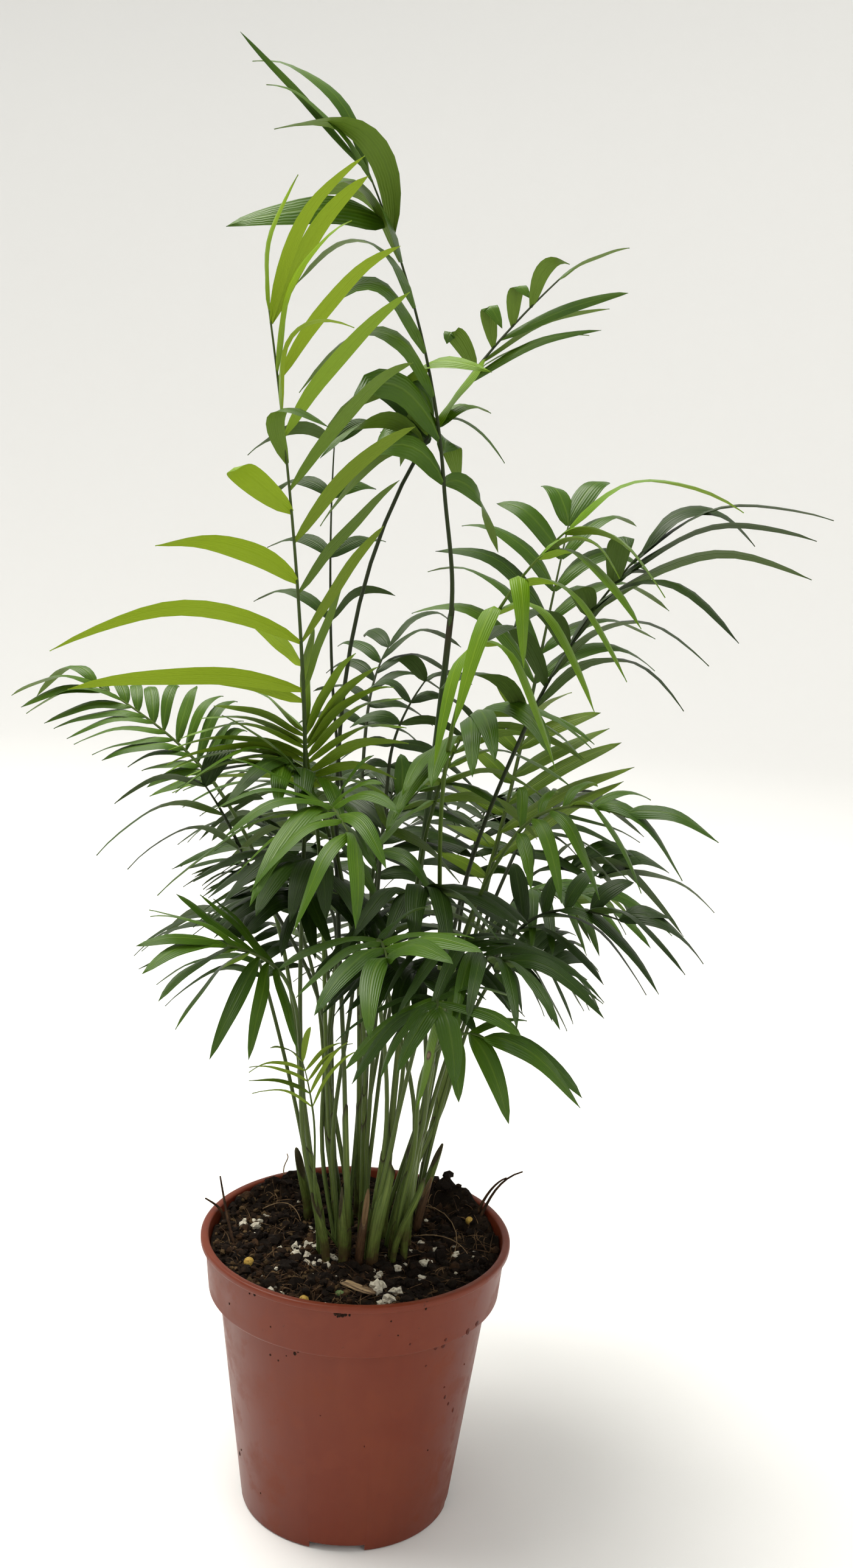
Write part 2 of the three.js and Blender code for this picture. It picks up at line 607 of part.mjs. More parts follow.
// Splits each side of a twisted blade along the diagonal that bulges outwards,
// so that a thin blade doesn't pass through itself.  cores holds the middle of
// the section that each vertex belongs to.
function splitOutwards(blade, cores) {
  const index = blade.getIndex();
  const spots = blade.getAttribute('position');
  const between = (i, j) => new THREE.Vector3().fromBufferAttribute(spots, i)
    .add(new THREE.Vector3().fromBufferAttribute(spots, j)).divideScalar(2);
  for (let i = 0; i + 5 < index.count; i += 3) {
    const [a, b, d, e, c, f] = index.array.slice(i, i + 6);
    if (b === e && d === f) {
      const split = between(b, d);
      const other = between(a, c);
      const core = cores[a].clone().add(cores[b]).divideScalar(2);
      const outwards = split.clone().add(other).divideScalar(2).sub(core);
      if (other.sub(split).dot(outwards) > 0) {
        index.array.set([a, b, c, a, c, d], i);
      }
    }
  }
}

// A leaflet, or with grow > 0 the space that it needs.
function leafSolid(path, along, width, grow = 0) {
  const blade = new THREE.ConeGeometry(1, 1, 3, LEAF.steps);
  const spots = blade.getAttribute('position');
  const length = path.v0.distanceTo(path.v2);
  const thickness = Math.max(LEAF.thickness, length * LEAF.thinnest);
  const point = new THREE.Vector3();
  const cores = [];
  for (let i = 0; i < spots.count; i += 1) {
    const s = spots.getY(i) + 0.5;
    const third = Math.round((Math.atan2(spots.getX(i), spots.getZ(i)) * 3) / (2 * Math.PI));
    const half = (width / 2) * leafOutline(s) + grow;
    const keel = thickness * mix(1, LEAF.keelTip, s) + grow;
    const [across, down] = [[0, keel], [half, -grow], [-half, -grow]][(third + 3) % 3];
    const axis = leafWidthAxis(path, along, s);
    const below = new THREE.Vector3().crossVectors(axis, path.getTangent(s));
    path.getPoint(s, point);
    cores.push(point.clone().addScaledVector(below, (keel - 2 * grow) / 3));
    if (s < 1) {
      point.addScaledVector(axis, across).addScaledVector(below, down);
    }
    spots.setXYZ(i, point.x, point.y, point.z);
  }
  splitOutwards(blade, cores);
  return solid(blade);
}

// The leaflets of one frond, as root, tip and shape, in the order they grow.
function leafletsOf(frond, rib, random) {
  const leaflets = [];
  for (const { count, span, tips, rise, width } of [frond.left, frond.right]) {
    const edge = new THREE.QuadraticBezierCurve3(...tips.map(vec));
    for (let i = 0; i < count; i += 1) {
      const share = i / (count - 1);
      const tip = edge.getPoint(share);
      tip.add(vec([random(), random(), random()]).multiplyScalar(TIP_SPREAD));
      leaflets.push({
        at: mix(...span, share),
        tip,
        rise: rise * (1 + RISE_SPREAD * random()),
        sway: 0,
        width: width * mix(...WIDTH_SPAN, share),
      });
    }
  }
  for (const one of frond.odd ?? []) {
    leaflets.push({ ...one, tip: vec(one.tip) });
  }
  return leaflets;
}

// ---- the plant -------------------------------------------------------------

const group = new THREE.Group();
group.add(makePot());
group.add(makeSoil());

// What is already in place: each body with the box around it and its frond.
const placed = [];

function place(owner, body) {
  const { min, max } = body.boundingBox();
  placed.push({ owner, body, box: new THREE.Box3(vec(min), vec(max)) });
}

function touches(owner, body) {
  const { min, max } = body.boundingBox();
  const box = new THREE.Box3(vec(min), vec(max));
  return placed.some((other) => other.owner !== owner && other.box.intersectsBox(box)
    && !other.body.intersect(body).isEmpty());
}

const canes = new Map();
for (const row of CANES) {
  const cane = caneOf(row);
  const body = solid(bentBar(cane.path, cane.radius, CANE.sides, CANE.steps));
  canes.set(row.name, cane);
  place(row.name, body);
  group.add(meshOf(row.name, body, { color: COLORS.cane, roughness: 0.6 }));
}

const stalks = FRONDS.map((frond) => {
  const stalk = seatedStalk(frond);
  place(frond.name, stalk.body);
  return stalk;
});

FRONDS.forEach((frond, index) => {
  const { path, body } = stalks[index];
  const random = sequence(101 + index);
  const kept = [body];
  for (const leaflet of leafletsOf(frond, path.rib, random)) {
    const root = path.rib.getPoint(leaflet.at);
    const along = path.rib.getTangent(leaflet.at);
    for (const nudge of NUDGES) {
      const tip = leaflet.tip.clone().add(vec(nudge));
      const line = leafPath(root, tip, leaflet.rise, leaflet.sway);
      if (!touches(frond.name, leafSolid(line, along, leaflet.width, CLEARANCE))) {
        const blade = leafSolid(line, along, leaflet.width);
        kept.push(blade);
        place(frond.name, blade);
        break;
      }
    }
  }
  const pieces = wasm.Manifold.union(kept).decompose();
  pieces.sort((a, b) => b.volume() - a.volume());
  group.add(meshOf(frond.name, pieces[0], TONES[frond.tone]));
});

export default group;
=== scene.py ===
"""A clump of feather-leaved palms in a nursery pot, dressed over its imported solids.

Lengths in the tables are in millimetres and MM turns them into metres.  Colours
are screen values, from 0 to 255.  +Z is up and -Y is the front.  The fronds grow
by the same rule as their solids: a stalk, a rib, and on each side leaflets whose
tips follow one curve.
"""

import math
import random
from collections import namedtuple
from types import SimpleNamespace as Sizes

import bmesh
import bpy
from mathutils import Matrix, Vector, kdtree, noise


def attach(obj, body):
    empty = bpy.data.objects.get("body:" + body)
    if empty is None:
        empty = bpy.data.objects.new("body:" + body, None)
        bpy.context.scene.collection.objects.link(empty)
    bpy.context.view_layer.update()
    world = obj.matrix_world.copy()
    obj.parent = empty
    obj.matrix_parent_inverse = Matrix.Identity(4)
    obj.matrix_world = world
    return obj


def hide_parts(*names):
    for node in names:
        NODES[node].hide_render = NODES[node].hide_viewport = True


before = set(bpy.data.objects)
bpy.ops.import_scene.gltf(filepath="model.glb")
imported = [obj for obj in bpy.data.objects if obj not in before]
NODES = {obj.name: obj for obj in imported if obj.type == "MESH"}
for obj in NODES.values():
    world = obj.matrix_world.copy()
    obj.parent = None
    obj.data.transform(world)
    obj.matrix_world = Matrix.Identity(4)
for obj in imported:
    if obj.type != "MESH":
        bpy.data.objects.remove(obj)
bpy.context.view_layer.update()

# ---- sizes -------------------------------------------------------------------

MM = 0.001
UP = Vector((0, 0, 1))
PLAN = Vector((1, 1, 0))     # a place times this is that place in plan
CLEARANCE = 0.3
SEEDS = Sizes(splashes=17, soil=5, sheaths=11, tips=101, blades=700, tones=300)

POT = Sizes(
    height=111, base_radius=41.3, step_radius=52.4, step_height=88.9,
    band_radius=56.4, band_top_radius=58.2, rim_radius=60, rim_depth=2.6,
    wall=1.3, floor=4.6, corner=0.55, shoulder=2.5, steps=144,
)
NOTCH = Sizes(count=4, width=21, height=3, reach=9, first=-93)

SOIL = Sizes(
    level=105.7, flat_radius=42, edge_radius=50, gap=0.6, bevel=1, rings=64, steps=190,
    relief=1.9, clod=8, clod_share=0.8, grain=2.6, grain_share=0.6,
    bank=3.2, bank_width=14, bank_share=0.6, bank_clods=0.9, bank_run=60,
)
Heap = namedtuple("Heap", "x y height spread")
HEAPS = [Heap(36, 38, 6.5, 13), Heap(-30, 42, 3.5, 11), Heap(-8, -52, -2.5, 18)]

CANE = Sizes(foot_radius=2.0, top_radius=1.3, slim=0.68, sides=14, steps=36, sunk=2.5)
STALK = Sizes(
    low_radius=0.95, foot_radius=0.9, crown_radius=0.72, tip_radius=0.32, sides=8,
    low_steps=12, bare_steps=16, rib_steps=14, pull=0.35, lean=0.12, beside=1.1, stray=3.5,
    gather=1.2, taper=0.6, rib_taper=0.8,
)
BLADE = Sizes(
    around=4, steps=12, thickness=0.36, turn=0.6, lift=0.35, early=0.12, point=0.07,
    root_fold=0.8, fold=0.16, unfold=3, sink=0.4, ripple=0.01, waves=9, twist=0.55, stray=0.05,
    blunt=0.02, lead=0.85, fullness=0.6,
)
TIP_SPREAD = 3.5
RISE_SPREAD = 0.2
WIDTH_SPAN = (0.85, 1.05)
FINE_COUNT = 8      # leaflets a side on an even frond
TIP_MATCH = 0.2     # within which a tip of the solids is found
NUDGES = [
    (0, 0, 0), (0, 7, 0), (0, -7, 0), (0, 0, 7), (0, 0, -7), (0, 14, 3), (0, -14, 3),
    (6, 0, 6), (-6, 0, 6), (0, 22, 0), (0, -22, 0), (8, 8, -8), (-8, -8, -8),
]

Cane = namedtuple("Cane", "foot top")
CANES = {
    "stem_01": Cane((-18, 27), (-25, 26, 165)),
    "stem_02": Cane((-12, -12), (-19, -14, 150)),
    "stem_03": Cane((-9, 18), (-14, 20, 175)),
    "stem_04": Cane((-8, 3), (-12, 2, 150)),
    "stem_05": Cane((-3, -13), (-6, -14, 165)),
    "stem_06": Cane((0, 22), (-2, 26, 190)),
    "stem_07": Cane((2, 4), (1, 2, 170)),
    "stem_08": Cane((5, -12), (9, -16, 150)),
    "stem_09": Cane((14, -11), (22, -18, 165)),
    "stem_10": Cane((20, -2), (26, -8, 185)),
    "stem_11": Cane((11, 8), (25, 14, 350)),
    "stem_12": Cane((21, 14), (30, 12, 210)),
    "stem_13": Cane((25, 28), (36, 38, 180)),
}

# One side of a frond: how many leaflets, where on the rib the first and the last
# one grow, the curve of their tips, how much they arch, how wide they are.
Side = namedtuple("Side", "count span tips rise width")
# A leaflet apart from those: its place on the rib and its own tip.
Leaf = namedtuple("Leaf", "at tip rise sway width")
# A frond: its cane, the share of the cane's height where it leaves, and its rib.
Frond = namedtuple("Frond", "name stem at tone rib left right odd even", defaults=[(), False])

# The edge of an even frond, in shares of its reach: aside of the rib, ahead and
# up, from its crown for the first point and from its tip for the others.
EVEN_EDGE = [(0.85, 0.35, -0.3), (1.3, 0.3, -0.2), (0.25, 1.0, -0.2)]


def even_frond(name, stem, at, rib, reach):
    """A frond with both sides alike."""
    crown, tip = Vector(rib[0]), Vector(rib[2])
    out = ((tip - crown) * PLAN).normalized()
    aside = Vector((out.y, -out.x, 0))

    def half(sign):
        edge = []
        for (across, ahead, up), start in zip(EVEN_EDGE, (crown, tip, tip)):
            edge.append(start + (aside * sign * across + out * ahead + UP * up) * reach)
        return Side(FINE_COUNT, (0, 1), edge, rise=0.35, width=8)

    return Frond(name, stem, at, "dark", rib, half(1), half(-1), even=True)


FRONDS = [
    Frond(
        "frond_tall", "stem_11", 1, "mid",
        [(20, 14, 398), (14, 18, 451), (-12, 20, 505)],
        Side(6, (0, 0.72), [(-20, 0, 390), (-42, -20, 434), (-35, -6, 480)], 0.8, 12.5),
        Side(3, (0, 0.2), [(42, 25, 375), (37, 45, 397), (4, 40, 404)], 0.6, 9),
        [
            Leaf(1, (-58, 15, 548), 0.06, 0.02, 5),
            Leaf(1, (-55, 32, 542), 0.36, 0.12, 6),
            Leaf(0.97, (-48, 8, 530), 0.25, 0, 6),
            Leaf(0.84, (-59, -8, 481), 0.22, 0, 12),
            Leaf(0.8, (-45, 10, 516), 0.6, 0.42, 12.5),
            Leaf(0.86, (-32, 38, 498), 0.35, 0, 6),
        ],
    ),
    Frond(
        "frond_bright", "stem_02", 1, "bright",
        [(-26, -28, 320), (-30, -38, 384), (-41, -44, 452)],
        Side(2, (0.18, 0.34), [(-102, -72, 345), (-88, -74, 358), (-71, -75, 375)], 0.22, 8.5),
        Side(8, (0.05, 0.97), [(-13, -18, 366), (28, -20, 428), (-11, -40, 498)], 0.16, 6.5),
        [
            Leaf(1, (-33, -45, 494), -0.05, -0.22, 5),
            Leaf(0.97, (-12, -50, 500), 0, -0.14, 5.5),
            Leaf(0.64, (-20, -55, 416), 0.9, -0.7, 8),
            Leaf(0.52, (-49, -62, 401), 0.35, -0.4, 11),
            Leaf(0.05, (-102, -60, 328), 0.08, 0, 8),
            Leaf(0.02, (-74, -20, 328), 0.1, 0, 7.5),
            Leaf(0.12, (-46, -15, 347), 0.05, 0, 8),
            Leaf(0.76, (-13, -60, 447), 0.7, -0.35, 7),
            Leaf(0.86, (-15, -62, 479), 0.35, -0.2, 7),
        ],
    ),
    Frond(
        "frond_thin", "stem_06", 1, "mid",
        [(-19, 32, 331), (-22, 36, 376), (-21, 38, 411)],
        Side(4, (0.15, 1), [(-47, 50, 346), (-49, 60, 378), (-55, 50, 404)], 0.4, 6),
        Side(4, (0.15, 1), [(7, 50, 353), (3, 50, 381), (-10, 45, 417)], 0.3, 6),
    ),
    Frond(
        "frond_high_right", "stem_05", 1, "mid",
        [(12, 28, 411), (30, 34, 444), (60, 43, 474)],
        Side(4, (0.2, 0.85), [(19, 26, 450), (36, 33, 472), (66, 42, 482)], 0.15, 10),
        Side(4, (0.2, 0.62), [(71, 46, 452), (82, 48, 462), (89, 50, 470)], 0.18, 5.5),
        [
            Leaf(1, (86, 48, 487), 0.12, 0, 4),
            Leaf(0.1, (37, 36, 424), 0.5, 0, 6.5),
            Leaf(0.04, (43, 34, 406), 0.75, 0, 6.5),
            Leaf(0, (-16, 20, 397), 0.6, 0, 9.5),
            Leaf(0.08, (-15, 10, 423), 0.75, 0.3, 11),
            Leaf(0.06, (35, 10, 438), 0.8, -0.75, 9.5),
            Leaf(0.1, (33, 18, 443), 0.1, 0, 13),
        ],
    ),
    Frond(
        "frond_right", "stem_12", 1, "dark",
        [(52, -30, 319), (64, -40, 354), (85, -48, 381)],
        Side(6, (0, 1), [(23, -60, 334), (33, -70, 366), (123, -30, 381)], 0.6, 9),
        Side(3, (0.08, 0.42), [(98, -60, 329), (105, -64, 348), (116, -66, 355)], 0.65, 9),
        [
            Leaf(0.78, (78, -62, 382), 0.9, 0, 8.5),
            Leaf(0.62, (139, -60, 375), 0.38, 0, 8.5),
            Leaf(0.8, (142, -50, 387), 0.3, 0, 7),
            Leaf(0.9, (147, -50, 394), 0.32, 0, 6.5),
        ],
    ),
    Frond(
        "frond_right_behind", "stem_13", 1, "mid",
        [(62, 62, 320), (67, 70, 349), (73, 78, 382)],
        Side(6, (0, 1), [(15, 70, 347), (16, 75, 375), (64, 90, 397)], 0.5, 9),
        Side(6, (0, 1), [(111, 75, 323), (123, 80, 361), (94, 95, 396)], 0.45, 9),
    ),
    Frond(
        "frond_light", "stem_10", 1, "bright",
        [(32, -62, 349), (40, -72, 372), (57, -80, 389)],
        Side(5, (0, 1), [(22, -75, 309), (22, -90, 344), (106, -95, 400)], 0.55, 9),
        Side(5, (0, 0.95), [(57, -72, 314), (83, -85, 343), (85, -95, 373)], 0.55, 9.5),
    ),
    Frond(
        "frond_inner_right", "stem_12", 0.8, "mid",
        [(45, 34, 246), (53, 40, 277), (58, 46, 307)],
        Side(6, (0, 1), [(28, 40, 254), (27, 50, 286), (47, 55, 323)], 0.1, 6.5),
        Side(6, (0.1, 1), [(100, 50, 280), (104, 60, 306), (77, 50, 320)], 0.12, 6.5),
    ),
    Frond(
        "frond_right_front", "stem_09", 1, "mid",
        [(48, -60, 286), (57, -74, 304), (79, -88, 300)],
        Side(5, (0.05, 1), [(52, -50, 301), (77, -60, 304), (101, -92, 298)], 0.35, 7),
        Side(6, (0, 1), [(52, -82, 274), (80, -98, 270), (104, -100, 294)], 0.4, 7),
    ),
    Frond(
        "frond_low_right_behind", "stem_13", 0.9, "dark",
        [(62, 50, 240), (71, 60, 251), (95, 72, 238)],
        Side(4, (0.1, 1), [(66, 60, 258), (98, 75, 259), (129, 95, 232)], 0.4, 8.5),
        Side(5, (0, 1), [(90, 62, 214), (120, 80, 208), (145, 90, 217)], 0.4, 7.5),
    ),
    Frond(
        "frond_low_right", "stem_12", 0.45, "dark",
        [(55, -8, 237), (66, -18, 254), (89, -30, 249)],
        Side(5, (0.1, 1), [(56, 0, 258), (86, -10, 269), (108, -35, 250)], 0.35, 7.5),
        Side(5, (0, 1), [(86, -30, 226), (108, -50, 224), (120, -45, 241)], 0.4, 7.5),
    ),
    Frond(
        "frond_low_right_small", "stem_13", 0.6, "dark",
        [(52, 42, 204), (60, 50, 212), (74, 56, 203)],
        Side(4, (0, 1), [(55, 60, 224), (88, 80, 220), (102, 80, 190)], 0.35, 7),
        Side(5, (0, 1), [(60, 30, 188), (82, 50, 176), (99, 70, 182)], 0.4, 7),
    ),
    Frond(
        "frond_low_front_right", "stem_09", 0.6, "mid",
        [(28, -60, 212), (34, -68, 220), (40, -72, 218)],
        Side(3, (0.2, 1), [(33, -60, 232), (61, -70, 232), (71, -85, 204)], 0.25, 7),
        Side(3, (0.2, 1), [(30, -75, 198), (41, -95, 190), (74, -90, 201)], 0.25, 7.5),
    ),
    Frond(
        "frond_front_broad", "stem_08", 1, "mid",
        [(3, -70, 250), (5, -85, 254), (6, -97, 252)],
        Side(4, (0, 1), [(-26, -80, 243), (-28, -110, 234), (0, -130, 239)], 0.3, 7.5),
        Side(4, (0, 1), [(19, -70, 260), (49, -95, 261), (26, -130, 259)], 0.2, 10),
    ),
    Frond(
        "frond_front_right", "stem_08", 0.6, "mid",
        [(23, -62, 228), (24, -78, 233), (23, -90, 234)],
        Side(5, (0, 1), [(-6, -75, 214), (-5, -95, 205), (13, -110, 221)], 0.28, 7.5),
        Side(4, (0, 1), [(41, -60, 237), (67, -85, 233), (31, -112, 215)], 0.25, 8),
        [
            Leaf(0.2, (18, -85, 197), 0.2, 0.1, 8),
        ],
    ),
    Frond(
        "frond_low_left", "stem_02", 0.75, "mid",
        [(-32, -40, 229), (-38, -50, 238), (-48, -60, 243)],
        Side(6, (0, 1), [(-52, -30, 250), (-79, -50, 265), (-76, -75, 247)], 0.18, 6.5),
        Side(6, (0, 1), [(-20, -60, 206), (-66, -90, 202), (-74, -80, 240)], 0.22, 7),
    ),
    Frond(
        "frond_seedling", "stem_02", 0.4, "bright",
        [(-18, -26, 172), (-20, -28, 184), (-22, -30, 191)],
        Side(5, (0, 1), [(-36, -35, 181), (-46, -40, 190), (-34, -35, 194)], 0.25, 3.5),
        Side(5, (0, 1), [(-1, -35, 195), (-2, -40, 206), (-16, -35, 203)], 0.3, 3.5),
    ),
    Frond(
        "frond_left", "stem_01", 1, "mid",
        [(-62, 26, 281), (-77, 34, 298), (-110, 44, 314)],
        Side(7, (0, 1), [(-82, 20, 278), (-112, 32, 296), (-146, 50, 305)], 0.22, 8),
        Side(6, (0, 1), [(-48, 40, 299), (-70, 50, 323), (-134, 60, 306)], 0.5, 7.5),
    ),
    Frond(
        "frond_left_dark", "stem_03", 1, "dark",
        [(-48, -10, 264), (-54, -18, 280), (-60, -24, 290)],
        Side(3, (0, 1), [(-81, -42, 260), (-102, -40, 262), (-93, -30, 283)], 0.4, 6.5),
        Side(4, (0, 1), [(-35, -30, 260), (-32, -20, 282), (-52, -10, 299)], 0.3, 8),
    ),
    Frond(
        "frond_center_front", "stem_07", 1, "mid",
        [(-15, -40, 284), (-16, -58, 297), (-8, -78, 288)],
        Side(7, (0, 1), [(-51, -30, 315), (-62, -75, 279), (-24, -100, 264)], 0.3, 7),
        Side(5, (0, 1), [(-4, -40, 309), (13, -80, 297), (-2, -110, 263)], 0.35, 8),
        [
            Leaf(0.12, (-69, -80, 265), 0.34, 0, 9.5),
            Leaf(0.3, (-38, -95, 267), 0.3, 0, 9),
        ],
    ),
    Frond(
        "frond_center_left", "stem_04", 1, "bright",
        [(-23, -12, 289), (-25, -18, 302), (-26, -22, 311)],
        Side(5, (0, 1), [(-69, -20, 286), (-84, -20, 299), (-48, -20, 327)], 0.25, 6.5),
        Side(5, (0, 1), [(5, -20, 290), (28, -30, 336), (-24, -25, 345)], 0.3, 7.5),
    ),
    Frond(
        "frond_left_behind", "stem_03", 0.6, "dark",
        [(-32, 58, 221), (-41, 66, 234), (-48, 72, 235)],
        Side(4, (0, 1), [(-65, 70, 216), (-79, 80, 226), (-77, 85, 231)], 0.3, 6.5),
        Side(4, (0, 1), [(-20, 70, 234), (-26, 80, 252), (-44, 85, 247)], 0.3, 6.5),
    ),
    Frond(
        "frond_back_high", "stem_06", 0.6, "dark",
        [(-5, 84, 296), (-4, 96, 315), (3, 108, 326)],
        Side(5, (0, 1), [(-31, 95, 290), (-28, 110, 320), (-8, 130, 329)], 0.4, 7),
        Side(6, (0, 1), [(21, 95, 285), (36, 115, 309), (31, 130, 332)], 0.4, 7),
    ),
    Frond(
        "frond_drooping", "stem_07", 0.8, "dark",
        [(5, 48, 286), (6, 54, 302), (18, 60, 319)],
        Side(5, (0, 1), [(-13, 45, 268), (-15, 50, 302), (6, 50, 327)], 0.45, 6.5),
        Side(5, (0, 1), [(31, 60, 264), (50, 65, 284), (38, 75, 313)], 0.4, 6.5),
    ),
    Frond(
        "frond_center_right", "stem_10", 0.6, "mid",
        [(2, 6, 261), (6, 2, 276), (16, -2, 287)],
        Side(4, (0.02, 1), [(-19, 10, 276), (-9, 10, 295), (27, 0, 301)], 0.3, 7),
        Side(4, (0, 1), [(22, -20, 245), (44, -20, 260), (44, -10, 281)], 0.35, 7),
    ),
    even_frond(
        "frond_back_center", "stem_03", 0.85, [(-14, 58, 246), (-20, 84, 276), (-22, 108, 268)], 52
    ),
    even_frond(
        "frond_back_right", "stem_13", 0.5, [(40, 74, 236), (46, 96, 262), (50, 114, 256)], 46
    ),
    even_frond(
        "frond_back_left", "stem_03", 0.15, [(-24, 68, 228), (-34, 90, 250), (-44, 104, 242)], 44
    ),
    even_frond(
        "frond_far_right", "stem_12", 0.6, [(58, 60, 250), (68, 80, 268), (76, 96, 262)], 42
    ),
    even_frond(
        "frond_back_low", "stem_06", 0.15, [(10, 66, 196), (12, 88, 214), (14, 106, 206)], 48
    ),
    even_frond(
        "frond_far_left", "stem_01", 0.35, [(-42, 50, 196), (-50, 70, 212), (-58, 86, 206)], 42
    ),
]

# Small fronds inside the crown, within the reach of the others.
INNER_FRONDS = [
    even_frond("inner_01", "stem_04", 0.7, [(-8, -8, 240), (-14, -20, 260), (-24, -32, 266)], 38),
    even_frond("inner_02", "stem_07", 0.6, [(8, -10, 236), (12, -24, 256), (20, -36, 258)], 38),
    even_frond("inner_05", "stem_06", 0.75, [(2, 34, 244), (4, 44, 268), (8, 56, 278)], 42),
    even_frond("inner_07", "stem_04", 0.4, [(-16, 4, 266), (-22, -4, 288), (-30, -14, 298)], 42),
    even_frond("inner_08", "stem_08", 0.8, [(22, -4, 284), (28, -12, 310), (36, -20, 320)], 44),
    even_frond("inner_09", "stem_09", 0.9, [(28, -30, 237), (36, -42, 243), (44, -52, 236)], 40),
    even_frond("inner_10", "stem_07", 0.5, [(14, -4, 220), (17, -14, 228), (19, -24, 222)], 36),
    even_frond("inner_11", "stem_04", 0.9, [(-17, 14, 240), (-22, 4, 250), (-26, -8, 242)], 38),
    even_frond("inner_12", "stem_12", 0.9, [(57, 24, 240), (65, 20, 250), (74, 16, 242)], 40),
]

# Finer leaflets at the crown of this frond, beside those of its solid.
HIGH_FROND = "frond_high_right"
CROWN_LEAVES = [
    Leaf(0, (-25, 8, 405), 0.55, 0, 7),
    Leaf(0.04, (-11, 34, 431), 0.35, 0, 8),
    Leaf(0, (-24, 6, 381), 0.38, 0, 7.5),
    Leaf(0, (5, 34, 410), 0.7, 0.2, 9),
    Leaf(0.06, (1, 10, 428), 0.3, 0, 8),
    Leaf(0.02, (-4, 30, 415), 0.5, 0.1, 8.5),
]

# Its leaflets that fold over, which its solid has straight, by number.
FOLDED_LEAVES = {
    0: Leaf(0.44, (19, 30, 448), 1.1, -0.45, 7),
    1: Leaf(0.57, (39, 30, 454.5), 2.5, -0.75, 7),
    2: Leaf(0.7, (48.5, 33, 466), 1.4, -0.3, 7),
    3: Leaf(0.82, (63, 38, 479), 0.65, -0.18, 6.5),
}

# ---- curves ------------------------------------------------------------------


def mix(a, b, t):
    return a + (b - a) * t


def smooth(t):
    k = min(1, max(0, t))
    return k * k * (3 - 2 * k)


def bezier(points, t):
    """The place at t on a curve with any number of control points."""
    row = [Vector(p) for p in points]
    while len(row) > 1:
        row = [a.lerp(b, t) for a, b in zip(row, row[1:])]
    return row[0]


def heading(points, t):
    """The direction of that curve at t."""
    steps = [Vector(b) - Vector(a) for a, b in zip(points, points[1:])]
    return bezier(steps, t).normalized()


def fixed_sequence(seed, factor=16807, modulus=2147483647):
    """A fixed sequence of numbers from -1 to 1, the same as in the solids."""
    state = seed
    while True:
        state = (state * factor) % modulus
        yield state / modulus * 2 - 1


# ---- meshes ------------------------------------------------------------------


def baked(name, bm):
    """The mesh that bm has become."""
    mesh = bpy.data.meshes.new(name)
    bm.to_mesh(mesh)
    bm.free()
    return mesh


def placed(name, data):
    """A new object in the scene."""
    thing = bpy.data.objects.new(name, data)
    bpy.context.scene.collection.objects.link(thing)
    return thing


def smoothed(mesh, sharp):
    """Shades a mesh smooth, but for its edges over this angle in degrees, if any."""
    mesh.shade_smooth()
    if sharp:
        mesh.set_sharp_from_angle(angle=math.radians(sharp))


def finished(name, bm, material, nodes=(), sharp=None):
    """Makes bm a piece of the object that rides on its body."""
    piece = placed(name, baked(name, bm))
    smoothed(piece.data, sharp)
    piece.data.materials.append(material)
    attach(piece, "root")
    if nodes:
        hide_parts(*nodes)
    return piece


def split_quads(bm):
    """Splits each side face alike above and below, so that a thin blade stays clear of itself."""

    def order(vert):
        return round(vert.co.z, 4), abs(vert.co.x)

    for face in bm.faces[:]:
        first, last = min(face.verts, key=order), max(face.verts, key=order)
        if order(last)[0] > order(first)[0]:
            bmesh.utils.face_split(face, first, last)


def rod_template(sides, steps, blade=False):
    """A round bar from z 0 to 1 with a ring at every step, and its UV map.

    The map runs round a rod, and across a blade, where 1 more marks its underside.
    """
    bm = bmesh.new()
    lifted = Matrix.Translation(UP / 2)
    bmesh.ops.create_cone(
        bm, cap_ends=True, segments=sides, radius1=1, radius2=1, depth=1, matrix=lifted
    )
    for i in range(1, steps):
        everything = bm.verts[:] + bm.edges[:] + bm.faces[:]
        bmesh.ops.bisect_plane(bm, geom=everything, plane_co=UP * i / steps, plane_no=UP)
    if blade:
        split_quads(bm)
    uv = bm.loops.layers.uv.new("UVMap")
    for face in bm.faces:
        middle = face.calc_center_median()
        for loop in face.loops:
            spot = loop.vert.co
            if blade:
                under = 1 if middle.y < 0 else 0
                loop[uv].uv = ((spot.x + 1) / 2, spot.z + under)
            else:
                turn = round(math.atan2(spot.y, spot.x) / math.tau, 5) % 1
                if turn < 0.25 and math.atan2(middle.y, middle.x) < 0:
                    turn += 1
                loop[uv].uv = (turn, spot.z)
    return baked("template", bm)


def ball_template(subdivisions):
    bm = bmesh.new()
    bmesh.ops.create_icosphere(bm, subdivisions=subdivisions, radius=1)
    return baked("template", bm)


def stamped(bm, template):
    """Adds the template to bm and gives its vertices there."""
    first = len(bm.verts)
    bm.from_mesh(template)
    bm.verts.ensure_lookup_table()
    return bm.verts[first:]


Section = namedtuple("Section", "centre across up fold", defaults=[Vector()])


def stamp(bm, template, sections):
    """Adds the template to bm with each of its rings drawn to its section, in mm."""
    last = len(sections) - 1
    for vert in stamped(bm, template):
        centre, across, up, fold = sections[round(vert.co.z * last)]
        x, y = vert.co.x, vert.co.y
        vert.co = (centre + across * x + up * y + fold * abs(x)) * MM


def rod(bm, template, spine, radii):
    """A round bar along the points of spine, with a radius at each."""
    sections = []
    last = len(spine) - 1
    across = (spine[1] - spine[0]).orthogonal().normalized()
    for i, (point, radius) in enumerate(zip(spine, radii)):
        along = (spine[min(i + 1, last)] - spine[max(i - 1, 0)]).normalized()
        across = (across - along * across.dot(along)).normalized()
        sections.append(Section(point, across * radius, along.cross(across) * radius))
    stamp(bm, template, sections)


